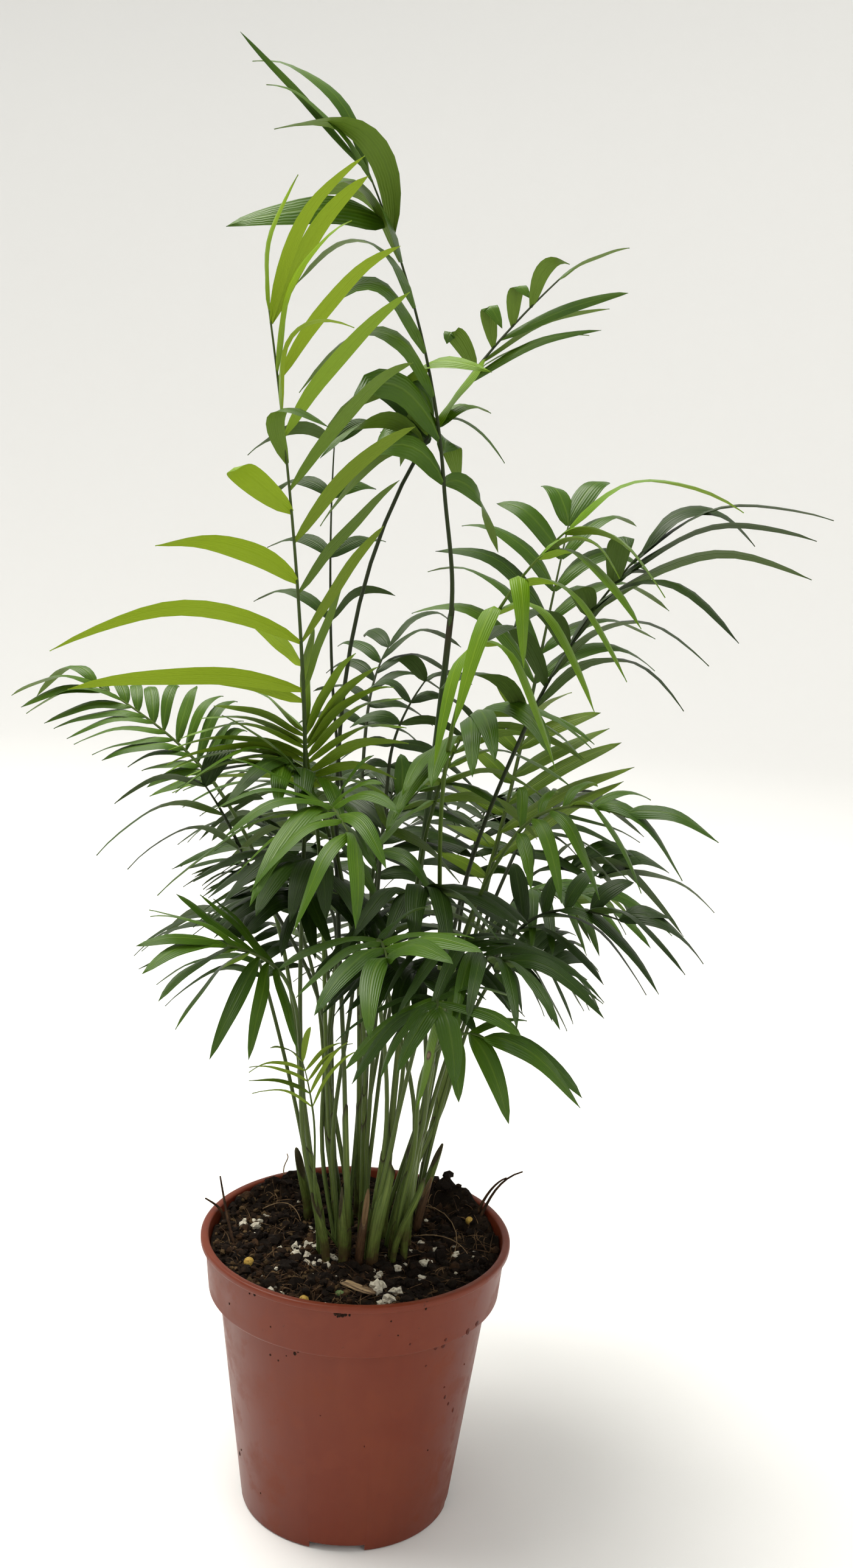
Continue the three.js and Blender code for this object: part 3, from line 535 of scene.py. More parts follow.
def lathe(outline, steps):
    """A shape of revolution about the Z axis.  outline holds places in mm: radius, height."""
    bm = bmesh.new()
    verts = [bm.verts.new((radius * MM, 0, z * MM)) for radius, z in outline]
    edges = [bm.edges.new(pair) for pair in zip(verts, verts[1:])]
    bmesh.ops.spin(
        bm, geom=verts + edges, axis=UP, cent=(0, 0, 0), dvec=(0, 0, 0), angle=math.tau,
        steps=steps, use_merge=True, use_normal_flip=False, use_duplicate=False,
    )
    bmesh.ops.remove_doubles(bm, verts=bm.verts, dist=1e-6)
    bmesh.ops.recalc_face_normals(bm, faces=bm.faces)
    return bm


# ---- looks -------------------------------------------------------------------

POT_COLOURS = Sizes(
    body=(110, 47, 27), deep=(98, 39, 22), scuffed=(124, 64, 44),
    dust=(132, 84, 62), dirt=(36, 24, 17),
)
CANE_COLOURS = Sizes(
    pale=(96, 112, 54), deep=(60, 76, 30), dry=(50, 36, 24), soiled=(62, 42, 27),
    high=(60, 80, 36), high_deep=(38, 54, 22),
)
Sleeve = namedtuple("Sleeve", "pale deep dry")
GREEN_SLEEVE = Sleeve((102, 118, 54), (64, 82, 30), CANE_COLOURS.dry)
DEAD_SLEEVE = Sleeve((94, 70, 46), (58, 42, 30), (120, 96, 66))
BARK = Sizes(pale=(168, 142, 104), deep=(66, 44, 28))

# A crumbly look: its two colours, the size of its patches in metres, and roughness.
Earth = namedtuple("Earth", "dark light patch roughness", defaults=[0.004, 0.95])
EARTHS = {
    "splash_red": Earth((86, 36, 25), (76, 32, 23), 0.002, 0.4),
    "splash_brown": Earth((34, 22, 16), (66, 42, 30), 0.002),
    "soil_peat": Earth((20, 14, 9), (52, 38, 25), 0.006),
    "crumbs_dark": Earth((20, 14, 10), (46, 33, 23)),
    "crumbs_brown": Earth((40, 27, 17), (78, 56, 37)),
    "crumbs_tan": Earth((72, 57, 38), (112, 90, 62)),
    "fibres": Earth((74, 56, 40), (138, 112, 82)),
    "perlite_white": Earth((204, 198, 182), (150, 138, 116), 0.0016),
    "bead_ochre": Earth((182, 150, 74), (152, 116, 52), 0.002, 0.5),
    "moss": Earth((96, 118, 74), (140, 154, 104), 0.002),
    "root_tan": Earth((134, 112, 84), (100, 80, 58)),
    "twig_brown": Earth((44, 30, 21), (92, 68, 46)),
}

# The colours of a tone: face, shaded face and back of its leaflets, and its stalk.
# The bright and olive faces are partly the paler green of thin young leaflets and
# partly painted light that shines through leaflets lit from behind.
Tone = namedtuple("Tone", "face shade back stalk stalk_deep roughness slot")
TONES = {
    "bright": Tone(
        (114, 142, 8), (96, 126, 6), (134, 158, 26), (92, 114, 26), (70, 92, 18), 0.42,
        "leaf_bright",
    ),
    "light": Tone(
        (100, 132, 14), (78, 112, 10), (122, 150, 36), (88, 110, 34), (66, 88, 24), 0.4,
        "leaf_bright",
    ),
    "olive": Tone(
        (86, 108, 8), (66, 92, 6), (106, 128, 28), (74, 92, 26), (56, 74, 18), 0.4, "leaf_mid"
    ),
    "fresh": Tone(
        (66, 96, 12), (50, 80, 10), (94, 120, 34), (80, 98, 38), (58, 76, 28), 0.36, "leaf_mid"
    ),
    "mid": Tone(
        (58, 86, 14), (43, 71, 10), (84, 108, 34), (72, 88, 38), (50, 66, 26), 0.36, "leaf_mid"
    ),
    "deep": Tone(
        (44, 69, 12), (34, 57, 10), (68, 90, 30), (54, 66, 30), (36, 46, 20), 0.42, "leaf_dark"
    ),
    "dark": Tone(
        (35, 56, 10), (27, 45, 8), (56, 76, 26), (46, 56, 26), (32, 40, 17), 0.46, "leaf_dark"
    ),
}

# The brown spot: its place across and along its leaflet, how much longer the
# leaflet is than wide, where its edge and its paler core end, and both colours.
SPOT = Sizes(
    across=0.6, along=0.66, slender=6.0, edge=(0.24, 0.18), core=(0.14, 0.09),
    brown=(78, 58, 36), pale=(136, 108, 82),
)

# Between the first and the second of these a look changes: heights in metres on
# the pot and the canes, and the share of a sheath's length where its mouth starts.
DUSTY_RIM = (0.085, 0.106)
GREEN_CANE = (0.15, 0.23)
GREEN_SHEATH = (0.17, 0.26)
SOILED_FOOT = (0.128, 0.108)
TORN_MOUTH = (0.8, 0.87)
HALF_MIDRIB = 0.07      # of a leaflet's width
CRISP = (0.38, 0.62)    # what is kept of the noise in fibres


def add(tree, kind, inputs=None, **settings):
    """A node with its settings, and its inputs linked or given a value."""
    node = tree.nodes.new(kind)
    for key, value in settings.items():
        setattr(node, key, value)
    for socket, value in (inputs or {}).items():
        if isinstance(value, bpy.types.NodeSocket):
            tree.links.new(value, node.inputs[socket])
        else:
            node.inputs[socket].default_value = value
    return node


def connect(tree, sockets, **values):
    """Links each value to the socket of its name."""
    for key, value in values.items():
        tree.links.new(value, sockets[key.replace("_", " ")])


def colour_of(value):
    """A socket as it is, and screen values as the colour that a shader takes."""
    if isinstance(value, bpy.types.NodeSocket):
        return value
    shares = [v / 255 for v in value]
    return (*(((v + 0.055) / 1.055) ** 2.4 if v > 0.04 else v / 12.92 for v in shares), 1)


def maths(tree, operation, *values):
    return add(tree, "ShaderNodeMath", dict(enumerate(values)), operation=operation).outputs[0]


def blend(tree, share, a, b, most=1):
    """The colour share of the way from a to b, where a full share counts as most."""
    if most < 1:
        share = maths(tree, "MULTIPLY", share, most)
    inputs = {0: share, 6: colour_of(a), 7: colour_of(b)}
    return add(tree, "ShaderNodeMix", inputs, data_type="RGBA").outputs[2]


def ramp(tree, value, start, end):
    """0 up to start and 1 from end on, or the other way about where end is the lower."""
    inputs = {"Value": value, "From Min": start, "From Max": end}
    return add(tree, "ShaderNodeMapRange", inputs).outputs[0]


def cloud(tree, place, scale, detail, roughness):
    inputs = {"Vector": place, "Scale": scale, "Detail": detail, "Roughness": roughness}
    return add(tree, "ShaderNodeTexNoise", inputs).outputs[0]


def coordinates(tree, kind):
    """The three coordinates of a place: on the object, or in the piece's own UV map."""
    place = add(tree, "ShaderNodeTexCoord").outputs[kind]
    return add(tree, "ShaderNodeSeparateXYZ", {0: place}).outputs


def surface(tree, shader, colour, height, strength, distance, **more):
    """Gives a shader its colour, its relief and what else changes over the surface."""
    values = {"Height": height, "Strength": strength, "Distance": distance}
    normal = add(tree, "ShaderNodeBump", values).outputs[0]
    connect(tree, shader, Base_Color=colour, Normal=normal, **more)


def node_group(name, inputs, outputs):
    """An empty shader group with float inputs and outputs, its tree and both ends."""
    tree = bpy.data.node_groups.new(name, "ShaderNodeTree")
    for key, value in inputs.items():
        socket = tree.interface.new_socket(key, in_out="INPUT", socket_type="NodeSocketFloat")
        socket.default_value = value
    for key in outputs:
        tree.interface.new_socket(key, in_out="OUTPUT", socket_type="NodeSocketFloat")
    start = tree.nodes.new("NodeGroupInput")
    end = tree.nodes.new("NodeGroupOutput")
    return tree, start.outputs, end.inputs


def make_patches():
    """Soft irregular patches of a size in metres, over a share of the surface."""
    values = {"Size": 0.01, "Detail": 4.0, "Cover": 0.5, "Edge": 0.1}
    tree, given, made = node_group("patches", values, ["Mask"])
    place = add(tree, "ShaderNodeTexCoord").outputs["Object"]
    scale = maths(tree, "DIVIDE", 1.0, given["Size"])
    limit = maths(tree, "SUBTRACT", 1.0, given["Cover"])
    low = maths(tree, "SUBTRACT", limit, given["Edge"])
    high = maths(tree, "ADD", limit, given["Edge"])
    clouds = cloud(tree, place, scale, given["Detail"], roughness=0.6)
    connect(tree, made, Mask=ramp(tree, clouds, low, high))
    return tree


def make_blade_relief():
    """Veins and midrib of a leaflet, its underside, and the share of its length."""
    outputs = ["Height", "Midrib", "Underside", "Along"]
    tree, given, made = node_group("blade_relief", {"Veins": 9.0}, outputs)
    across, along, _ = coordinates(tree, "UV")
    veins = maths(tree, "MULTIPLY", across, given["Veins"])
    ridges = maths(tree, "SINE", maths(tree, "MULTIPLY", veins, math.tau))
    aside = maths(tree, "ABSOLUTE", maths(tree, "SUBTRACT", across, 0.5))
    midrib = ramp(tree, aside, HALF_MIDRIB, 0.0)
    groove = maths(tree, "MULTIPLY", midrib, 2.0)
    height = maths(tree, "MULTIPLY", ridges, 0.5)
    connect(
        tree, made, Height=maths(tree, "SUBTRACT", height, groove), Midrib=midrib,
        Underside=maths(tree, "GREATER_THAN", along, 1.0), Along=maths(tree, "FRACT", along),
    )
    return tree


def make_fibres():
    """Lengthwise stripes of a cane or stalk, from its own UV map."""
    tree, given, made = node_group("fibres", {"Count": 16.0, "Stretch": 3.0}, ["Mask"])
    around, along, _ = coordinates(tree, "UV")
    turn = maths(tree, "MULTIPLY", around, given["Count"])
    rise = maths(tree, "MULTIPLY", along, given["Stretch"])
    place = add(tree, "ShaderNodeCombineXYZ", {0: turn, 1: rise}).outputs[0]
    lines = cloud(tree, place, scale=1.0, detail=3.0, roughness=0.65)
    connect(tree, made, Mask=ramp(tree, lines, *CRISP))
    return tree


PATCHES = make_patches()
BLADE_RELIEF = make_blade_relief()
FIBRES = make_fibres()


def use(tree, group, **values):
    """A group placed in a material with its own values."""
    return add(tree, "ShaderNodeGroup", values, node_tree=group).outputs


def plain(name, roughness, specular=0.5):
    """A new material, its tree and its shader's inputs."""
    material = bpy.data.materials.new(name)
    material.use_nodes = True
    tree = material.node_tree
    shader = tree.nodes["Principled BSDF"].inputs
    shader["Roughness"].default_value = roughness
    shader["Specular IOR Level"].default_value = specular
    return material, tree, shader


def leaf_material(name, look):
    """A leaflet: fine veins, a pale midrib and a paler, duller back."""
    material, tree, shader = plain(name, look.roughness, specular=0.24)
    relief = use(tree, BLADE_RELIEF, Veins=9.0)
    clouds = use(tree, PATCHES, Size=0.028, Detail=2.0, Cover=0.5, Edge=0.2)["Mask"]
    colour = blend(tree, clouds, look.face, look.shade)
    colour = blend(tree, relief["Midrib"], colour, look.back, 0.45)
    colour = blend(tree, relief["Underside"], colour, look.back)
    dull = maths(tree, "MULTIPLY_ADD", relief["Underside"], 0.16, look.roughness)
    surface(tree, shader, colour, relief["Height"], strength=0.35, distance=0.00022, Roughness=dull)
    return material


def spotted_material(name, look):
    """A leaflet with one round brown spot that has a darker edge, on both its faces."""
    material = leaf_material(name, look._replace(back=look.face))
    tree = material.node_tree
    shader = tree.nodes["Principled BSDF"].inputs
    across = coordinates(tree, "UV")[0]
    along = maths(tree, "MULTIPLY", use(tree, BLADE_RELIEF)["Along"], SPOT.slender)
    place = add(tree, "ShaderNodeCombineXYZ", {0: across, 1: along}).outputs[0]
    inputs = {0: place, 1: (SPOT.across, SPOT.along * SPOT.slender, 0)}
    far = add(tree, "ShaderNodeVectorMath", inputs, operation="DISTANCE").outputs["Value"]
    colour = shader["Base Color"].links[0].from_socket
    colour = blend(tree, ramp(tree, far, *SPOT.edge), colour, SPOT.brown)
    colour = blend(tree, ramp(tree, far, *SPOT.core), colour, SPOT.pale)
    connect(tree, shader, Base_Color=colour)
    return material


def cane_material(name, pale, deep, dry_share):
    """A cane or stalk: lengthwise fibres, dry brown patches, and paler below."""
    material, tree, shader = plain(name, 0.5, specular=0.22)
    stripes = use(tree, FIBRES, Count=16.0, Stretch=2.5)["Mask"]
    dry = use(tree, PATCHES, Size=0.014, Detail=5.0, Cover=dry_share, Edge=0.06)["Mask"]
    raised = ramp(tree, coordinates(tree, "Object")[2], *GREEN_CANE)
    low = blend(tree, stripes, CANE_COLOURS.pale, CANE_COLOURS.deep)
    colour = blend(tree, raised, low, blend(tree, stripes, pale, deep))
    colour = blend(tree, dry, colour, CANE_COLOURS.dry)
    surface(tree, shader, colour, stripes, strength=0.5, distance=0.0003)
    return material


def sheath_material(name, sleeve):
    """A sheath: striped, greener above, soiled at its foot and dry at its mouth."""
    material, tree, shader = plain(name, 0.46, specular=0.22)
    height = coordinates(tree, "Object")[2]
    stripes = use(tree, FIBRES, Count=20.0, Stretch=2.0)["Mask"]
    patches = use(tree, PATCHES, Size=0.007, Detail=6.0, Cover=0.5, Edge=0.1)["Mask"]
    high = blend(tree, stripes, CANE_COLOURS.high, CANE_COLOURS.high_deep)
    low = blend(tree, stripes, sleeve.pale, sleeve.deep)
    colour = blend(tree, ramp(tree, height, *GREEN_SHEATH), low, high)
    patchy = maths(tree, "MULTIPLY_ADD", patches, 0.7, 0.25)
    soiled = maths(tree, "MULTIPLY", ramp(tree, height, *SOILED_FOOT), patchy)
    colour = blend(tree, soiled, colour, CANE_COLOURS.soiled)
    mouth = ramp(tree, coordinates(tree, "UV")[1], *TORN_MOUTH)
    colour = blend(tree, mouth, colour, sleeve.dry, 0.85)
    surface(tree, shader, colour, stripes, strength=0.6, distance=0.0003)
    return material


def bark_material():
    """A dry chip of bark with lengthwise stripes."""
    material, tree, shader = plain("bark_striped", 0.8)
    stripes = use(tree, FIBRES, Count=14.0, Stretch=1.5)["Mask"]
    colour = blend(tree, stripes, BARK.pale, BARK.deep)
    surface(tree, shader, colour, stripes, strength=0.6, distance=0.0004)
    return material


def pot_material():
    """Moulded brown-red plastic with scuffs, dried splashes and soil dust."""
    material, tree, shader = plain("pot_plastic", 0.42, specular=0.22)
    place = add(tree, "ShaderNodeTexCoord").outputs["Object"]
    upright = add(tree, "ShaderNodeMapping", {"Vector": place, "Scale": (1, 1, 0.12)}).outputs[0]
    streaks = cloud(tree, upright, scale=130.0, detail=5.0, roughness=0.6)
    scuffs = use(tree, PATCHES, Size=0.011, Detail=8.0, Cover=0.42, Edge=0.05)["Mask"]
    specks = use(tree, PATCHES, Size=0.0022, Detail=3.0, Cover=0.3, Edge=0.03)["Mask"]
    splash = use(tree, PATCHES, Size=0.035, Detail=6.0, Cover=0.45, Edge=0.09)["Mask"]
    near_rim = ramp(tree, coordinates(tree, "Object")[2], *DUSTY_RIM)
    colour = blend(tree, streaks, POT_COLOURS.deep, POT_COLOURS.body)
    colour = blend(tree, scuffs, colour, POT_COLOURS.scuffed, 0.16)
    colour = blend(tree, splash, colour, POT_COLOURS.dust, 0.1)
    dirt = maths(tree, "MULTIPLY", specks, maths(tree, "MULTIPLY_ADD", near_rim, 0.5, 0.12))
    colour = blend(tree, dirt, colour, POT_COLOURS.dirt)
    rough = maths(tree, "MULTIPLY_ADD", splash, 0.2, 0.36)
    rough = maths(tree, "MULTIPLY_ADD", scuffs, 0.12, rough)
    surface(tree, shader, colour, streaks, strength=0.12, distance=0.0004, Roughness=rough)
    return material


def earth_material(name):
    """The crumbly look of this name."""
    look = EARTHS[name]
    material, tree, shader = plain(name, look.roughness, specular=0.12)
    patches = use(tree, PATCHES, Size=look.patch, Detail=8.0, Cover=0.4, Edge=0.12)["Mask"]
    fine = use(tree, PATCHES, Size=look.patch / 4, Detail=4.0, Cover=0.35, Edge=0.1)["Mask"]
    colour = blend(tree, patches, look.dark, look.light)
    colour = blend(tree, fine, colour, look.light, 0.35)
    surface(tree, shader, colour, fine, strength=0.8, distance=0.0008)
    return material


# ---- pot ---------------------------------------------------------------------


def outer_radius(z):
    if z > POT.step_height:
        share = (z - POT.step_height) / (POT.height - POT.rim_depth - POT.step_height)
        return mix(POT.band_radius, POT.band_top_radius, share)
    return mix(POT.base_radius, POT.step_radius, z / POT.step_height)


def inner_radius(z):
    return outer_radius(z) - POT.wall


def rounded(corners, size, steps=4, most=0.45):
    """The same outline with an arc in each corner but the first and the last.

    An arc takes up to size, and at most this share of the sides beside it.
    """
    outline = [Vector(corners[0])]
    for before, corner, after in zip(corners, corners[1:], corners[2:]):
        corner = Vector(corner)
        back, ahead = Vector(before) - corner, Vector(after) - corner
        reach = min(size, back.length * most, ahead.length * most)
        ends = [corner + back.normalized() * reach, corner, corner + ahead.normalized() * reach]
        outline += [bezier(ends, i / steps) for i in range(steps + 1)]
    return outline + [Vector(corners[-1])]


def cut(piece, tool_bm):
    """Cuts the closed shape tool_bm out of piece, for good."""
    tool = placed("cutter", baked("cutter", tool_bm))
    modifier = piece.modifiers.new("cut", "BOOLEAN")
    modifier.object = tool
    modifier.solver = "EXACT"
    ready = piece.evaluated_get(bpy.context.evaluated_depsgraph_get())
    piece.data = bpy.data.meshes.new_from_object(ready)
    piece.modifiers.clear()
    bpy.data.objects.remove(tool)


def make_pot():
    under_rim = POT.height - POT.rim_depth
    over_step = POT.step_height + POT.corner
    neck = POT.step_height - POT.shoulder
    mouth = POT.band_top_radius - POT.wall
    outline = rounded([
        (0, 0),
        (POT.base_radius, 0),
        (POT.step_radius, POT.step_height),
        (POT.band_radius, POT.step_height),
        (POT.band_top_radius, under_rim),
        (POT.rim_radius, under_rim),
        (POT.rim_radius, POT.height),
        (mouth, POT.height),
        (inner_radius(over_step), over_step),
        (inner_radius(neck), neck),
        (inner_radius(POT.floor), POT.floor),
        (0, POT.floor),
    ], 2 * POT.corner)
    piece = finished("pot_shell", lathe(outline, POT.steps), pot_material(), ["pot"])
    notches = bmesh.new()
    for i in range(NOTCH.count):
        turn = Matrix.Rotation(math.radians(NOTCH.first + 360 / NOTCH.count * i), 4, "Z")
        place = Matrix.Translation(Vector((POT.base_radius, 0, 0)) * MM)
        size = Matrix.Diagonal((2 * NOTCH.reach * MM, NOTCH.width * MM, 2 * NOTCH.height * MM, 1))
        bmesh.ops.create_cube(notches, size=1, matrix=turn @ place @ size)
    cut(piece, notches)
    smoothed(piece.data, sharp=40)


# Dried drops and crumbs on the wall of the pot: degrees from the front, height, size.
Speck = namedtuple("Speck", "turn height size")
DROPS = [
    Speck(49.7, 90.4, 1.4), Speck(55.6, 91.2, 1.3), Speck(53.1, 86, 1.1), Speck(37.6, 91.3, 0.9),
    Speck(36.9, 86.4, 1.4), Speck(41, 85.6, 1.2), Speck(43.7, 87.2, 0.8), Speck(51.3, 56.6, 0.7),
    Speck(47.7, 61, 0.8), Speck(56.8, 51.6, 1.1), Speck(46, 65.9, 0.5), Speck(22, 93.5, 0.45),
    Speck(33, 79.4, 0.5), Speck(60, 70.2, 0.4), Speck(-12, 60.8, 0.35), Speck(8, 48.2, 0.35),
]
CRUMBS_ON_WALL = [
    Speck(-6, 107.4, 0.8), Speck(-4.6, 107.2, 1.1), Speck(-3.4, 106.8, 0.7), Speck(-2.4, 107.3, 0.9),
    Speck(-1, 107.2, 0.6), Speck(-5.2, 106.2, 0.4), Speck(-38, 107.2, 0.7), Speck(-40.5, 106.6, 0.45),
    Speck(-53, 97, 0.45), Speck(-31, 96.4, 0.35), Speck(-23, 85.5, 0.8), Speck(-21.6, 86.4, 0.4),
    Speck(-35, 81.3, 0.5), Speck(-31, 80.2, 0.45), Speck(-27, 83.4, 0.3), Speck(-70, 23, 0.9),
    Speck(-66, 26.5, 0.5), Speck(-48, 15.4, 0.4), Speck(41.6, 39.6, 0.4), Speck(14, 104.2, 0.4),
    Speck(17, 98, 0.35), Speck(27, 107.3, 0.6), Speck(62, 107.2, 0.8), Speck(118, 94, 0.6),
    Speck(160, 107.3, 0.9), Speck(205, 70, 0.5), Speck(-112, 84, 0.6), Speck(-140, 107.1, 0.8),
]
SPLASHES = [("pot_drops", DROPS, "splash_red"), ("pot_crumbs", CRUMBS_ON_WALL, "splash_brown")]
# How far they stand out from the wall, and the spans of their width and height.
SPECK = Sizes(thickness=0.2, wide=(0.7, 1), tall=(0.7, 1.2))


def make_splashes():
    rng = random.Random(SEEDS.splashes)
    for name, specks, look in SPLASHES:
        bm = bmesh.new()
        for speck in specks:
            turn = Matrix.Rotation(math.radians(speck.turn - 90), 4, "Z")
            place = Matrix.Translation(Vector((outer_radius(speck.height), 0, speck.height)) * MM)
            wide, tall = rng.uniform(*SPECK.wide), rng.uniform(*SPECK.tall)
            size = Vector((SPECK.thickness, speck.size * wide, speck.size * tall)) * MM
            matrix = turn @ place @ Matrix.Diagonal((*size, 1))
            bmesh.ops.create_icosphere(bm, subdivisions=2, radius=1, matrix=matrix)
        finished(name, bm, earth_material(look))


# ---- soil --------------------------------------------------------------------


def soil_top(x, y):
    """Height of the even soil above a place in plan, as in the solids."""
    rise = smooth((math.hypot(x, y) - SOIL.flat_radius) / (SOIL.edge_radius - SOIL.flat_radius))
    heaps = 0
    for heap in HEAPS:
        far = (x - heap.x) ** 2 + (y - heap.y) ** 2
        heaps += heap.height * math.exp(-far / (2 * heap.spread ** 2))
    return SOIL.level + heaps * rise


def crumbly_top(x, y):
    """Height of the soil with its clods and grains, banked up against the wall behind."""
    clods = noise.noise((x / SOIL.clod, y / SOIL.clod, 0))
    grains = noise.noise((x / SOIL.grain, y / SOIL.grain, SOIL.level))
    relief = SOIL.relief * (SOIL.clod_share * clods + SOIL.grain_share * grains)
    out = smooth((math.hypot(x, y) - SOIL.flat_radius) / SOIL.bank_width)
    behind = smooth(0.5 + y / SOIL.bank_run)
    bank = SOIL.bank * out * (SOIL.bank_share + SOIL.bank_clods * clods) * behind
    return soil_top(x, y) + relief + bank


def make_soil():
    low = POT.floor + CLEARANCE
    neck = POT.step_height - POT.shoulder
    band = POT.step_height + POT.corner
    edge = SOIL.level - SOIL.bevel
    outline = [Vector((0, low))]
    outline += [Vector((inner_radius(z) - SOIL.gap, z)) for z in (low, neck, band, edge)]
    rim = outline[-1].x
    outline += [Vector((rim * (1 - i / SOIL.rings), SOIL.level)) for i in range(SOIL.rings + 1)]
    bm = lathe(outline, SOIL.steps)
    for vert in bm.verts:
        x, y, z = vert.co / MM
        if z > band + SOIL.bevel:
            vert.co.z = (crumbly_top(x, y) - SOIL.level + z) * MM
    finished("soil_bed", bm, earth_material("soil_peat"), ["soil"])


# A rough lump: how rough, the scale of that, and the spans of its sides and height.
LUMP = Sizes(rough=0.75, scale=1.9, shift=50, side=(0.75, 1.2), height=(0.7, 1))


def lump(bm, template, place, size, rng, squash=1.0):
    """A rough lump of about this radius, in mm."""
    turn = Matrix.Rotation(rng.uniform(0, math.tau), 3, (rng.random(), rng.random(), 1))
    shift = Vector((rng.uniform(-LUMP.shift, LUMP.shift), 0, 0))
    sides = rng.uniform(*LUMP.side), rng.uniform(*LUMP.side)
    flat = Vector((*sides, squash * rng.uniform(*LUMP.height)))
    for vert in stamped(bm, template):
        rough = 1 + LUMP.rough * noise.noise(vert.co * LUMP.scale + shift)
        vert.co = (place + (turn @ (vert.co * rough)) * flat * size) * MM


def somewhere(rng, reach):
    """A place in plan, even over a disc of this radius."""
    turn, far = rng.uniform(0, math.tau), reach * math.sqrt(rng.random())
    return far * math.cos(turn), far * math.sin(turn)


def on_soil(x, y, above=0.0):
    return Vector((x, y, crumbly_top(x, y) + above))


THREAD = Sizes(sides=5, steps=8, tip=0.4)


def strand(bm, template, points, radius, tip=THREAD.tip):
    """A thin root or fibre through these control points, whose tip has a share of its radius."""
    shares = [i / THREAD.steps for i in range(THREAD.steps + 1)]
    radii = [radius * mix(1, tip, s) for s in shares]
    rod(bm, template, [bezier(points, s) for s in shares], radii)


SOIL_REACH = 55
# Crumbs of one kind: how many are tried, how much larger than the smallest one they
# may be, and the bar that the noise there has to pass, which leans to one side.
Crumb = namedtuple("Crumb", "name count size bar lean")
CRUMBS = [
    Crumb("crumbs_dark", 2200, 2.3, -1, 0),
    Crumb("crumbs_brown", 1500, 1.7, -0.1, 0.2),
    Crumb("crumbs_tan", 1400, 1.2, 0.05, 0.6),
]
CRUMB = Sizes(smallest=0.35, power=3, above=0.3, cluster=16, apart=9)
FIBRE = Sizes(
    count=650, inset=2, length=(3, 11), radius=(0.1, 0.26), above=0.1,
    sway=(-2, 2), hump=(0.6, 2.6), lift=(0, 1.6),
)
Cluster = namedtuple("Cluster", "x y spread count size")
PERLITE = [
    Cluster(-20, -8, 3, 7, 2.1), Cluster(-17, -14, 5, 8, 1.5), Cluster(13, -41, 3.5, 6, 2.3),
    Cluster(-18, -43, 6, 6, 1.5), Cluster(5, -28, 8, 6, 1.5), Cluster(22, -8, 9, 9, 1.5),
    Cluster(-30, -20, 12, 9, 1.1), Cluster(35, -12, 10, 8, 1.3), Cluster(-38, 14, 9, 7, 1.6),
    Cluster(0, 0, 30, 44, 0.8),
]
PERLITE_GRAIN = Sizes(inset=3, size=(0.45, 1.15), above=0.45)
BEAD_ABOVE = 0.5    # how far a bead's middle stands above the soil, as a share of its radius
FERTILISER = [(-39.8, -21.3, 2.0), (45.1, 17.6, 1.6), (-17.9, -43.6, 1.9)]
# The bark chip: where both its ends lie, its size, and its share of that at each step.
CHIP = [(-4.6, -34.2), (8.0, -42.0)]
CHIP_SIZE = Sizes(sides=12, above=1.4, wave=0.15, half_width=2.3, half_height=0.8)
CHIP_ENDS = [0.55, 0.95, 1, 0.9, 1, 0.94, 1, 0.85, 0.5]
MOSS = Sizes(place=(-4.4, -40.2), above=1.0, size=1.9, squash=0.7)
ROOTS = [
    [(20, 28, 108), (33, 34, 110), (42, 14, 110), (41.7, -1.4, 107), (36, -14, 106)],
    [(23, 5, 107), (34, 6, 109), (42, 0, 108), (44, -12, 107)],
    [(-38, 24, 107), (-26, 26, 114), (-22, 14, 107)],
]
CURL = [(-27.9, 42.3, 107), (-32, 46, 112), (-33, 48, 116), (-28, 49, 117), (-30, 49, 120)]
TWIGS = [
    [(49, 20, 107), (52.5, 22, 116), (57, 31, 121), (66.5, 30, 124.5)],
    [(48, 22, 108), (51, 24, 117), (56, 28, 121), (60, 29, 122)],
    [(-47, -3, 105), (-50, 5, 109), (-53, 15, 116), (-54.7, 16.5, 124)],
    [(-52, 12, 106), (-53, 14, 112), (-56, 14, 113), (-60, 13, 116)],
]
# The pieces that these make: look, and of each strand its control points, its
# radius and the share of it that its tip has.
STRANDS = {
    "dry_roots": ("root_tan", [(root, 0.24, 0.6) for root in ROOTS] + [(CURL, 0.3, 0.8)]),
    "soil_twigs": ("twig_brown", [(twig, 0.75, 0.45) for twig in TWIGS]),
}


def strew_crumbs(rng):
    pebble = ball_template(1)
    for crumb in CRUMBS:
        bm = bmesh.new()
        for _ in range(crumb.count):
            x, y = somewhere(rng, SOIL_REACH)
            size = CRUMB.smallest + crumb.size * rng.random() ** CRUMB.power
            bar = crumb.bar + crumb.lean * x / SOIL_REACH
            spot = (x / CRUMB.cluster, y / CRUMB.cluster, crumb.size * CRUMB.apart)
            if noise.noise(spot) > bar:
                lump(bm, pebble, on_soil(x, y, CRUMB.above * size), size, rng)
        finished("soil_" + crumb.name, bm, earth_material(crumb.name), sharp=28)


def strew_fibres(rng, thread):
    bm = bmesh.new()
    for _ in range(FIBRE.count):
        start = on_soil(*somewhere(rng, SOIL_REACH - FIBRE.inset), FIBRE.above)
        turn, length = rng.uniform(0, math.tau), rng.uniform(*FIBRE.length)
        end = start + Vector((math.cos(turn), math.sin(turn), 0)) * length
        if math.hypot(end.x, end.y) < SOIL_REACH:
            bend = start.lerp(end, 0.5)
            bend += Vector([rng.uniform(*span) for span in (FIBRE.sway, FIBRE.sway, FIBRE.hump)])
            end.z = crumbly_top(end.x, end.y) + rng.uniform(*FIBRE.lift) ** 2
            strand(bm, thread, [start, bend, end], rng.uniform(*FIBRE.radius))
    finished("soil_fibres", bm, earth_material("fibres"))


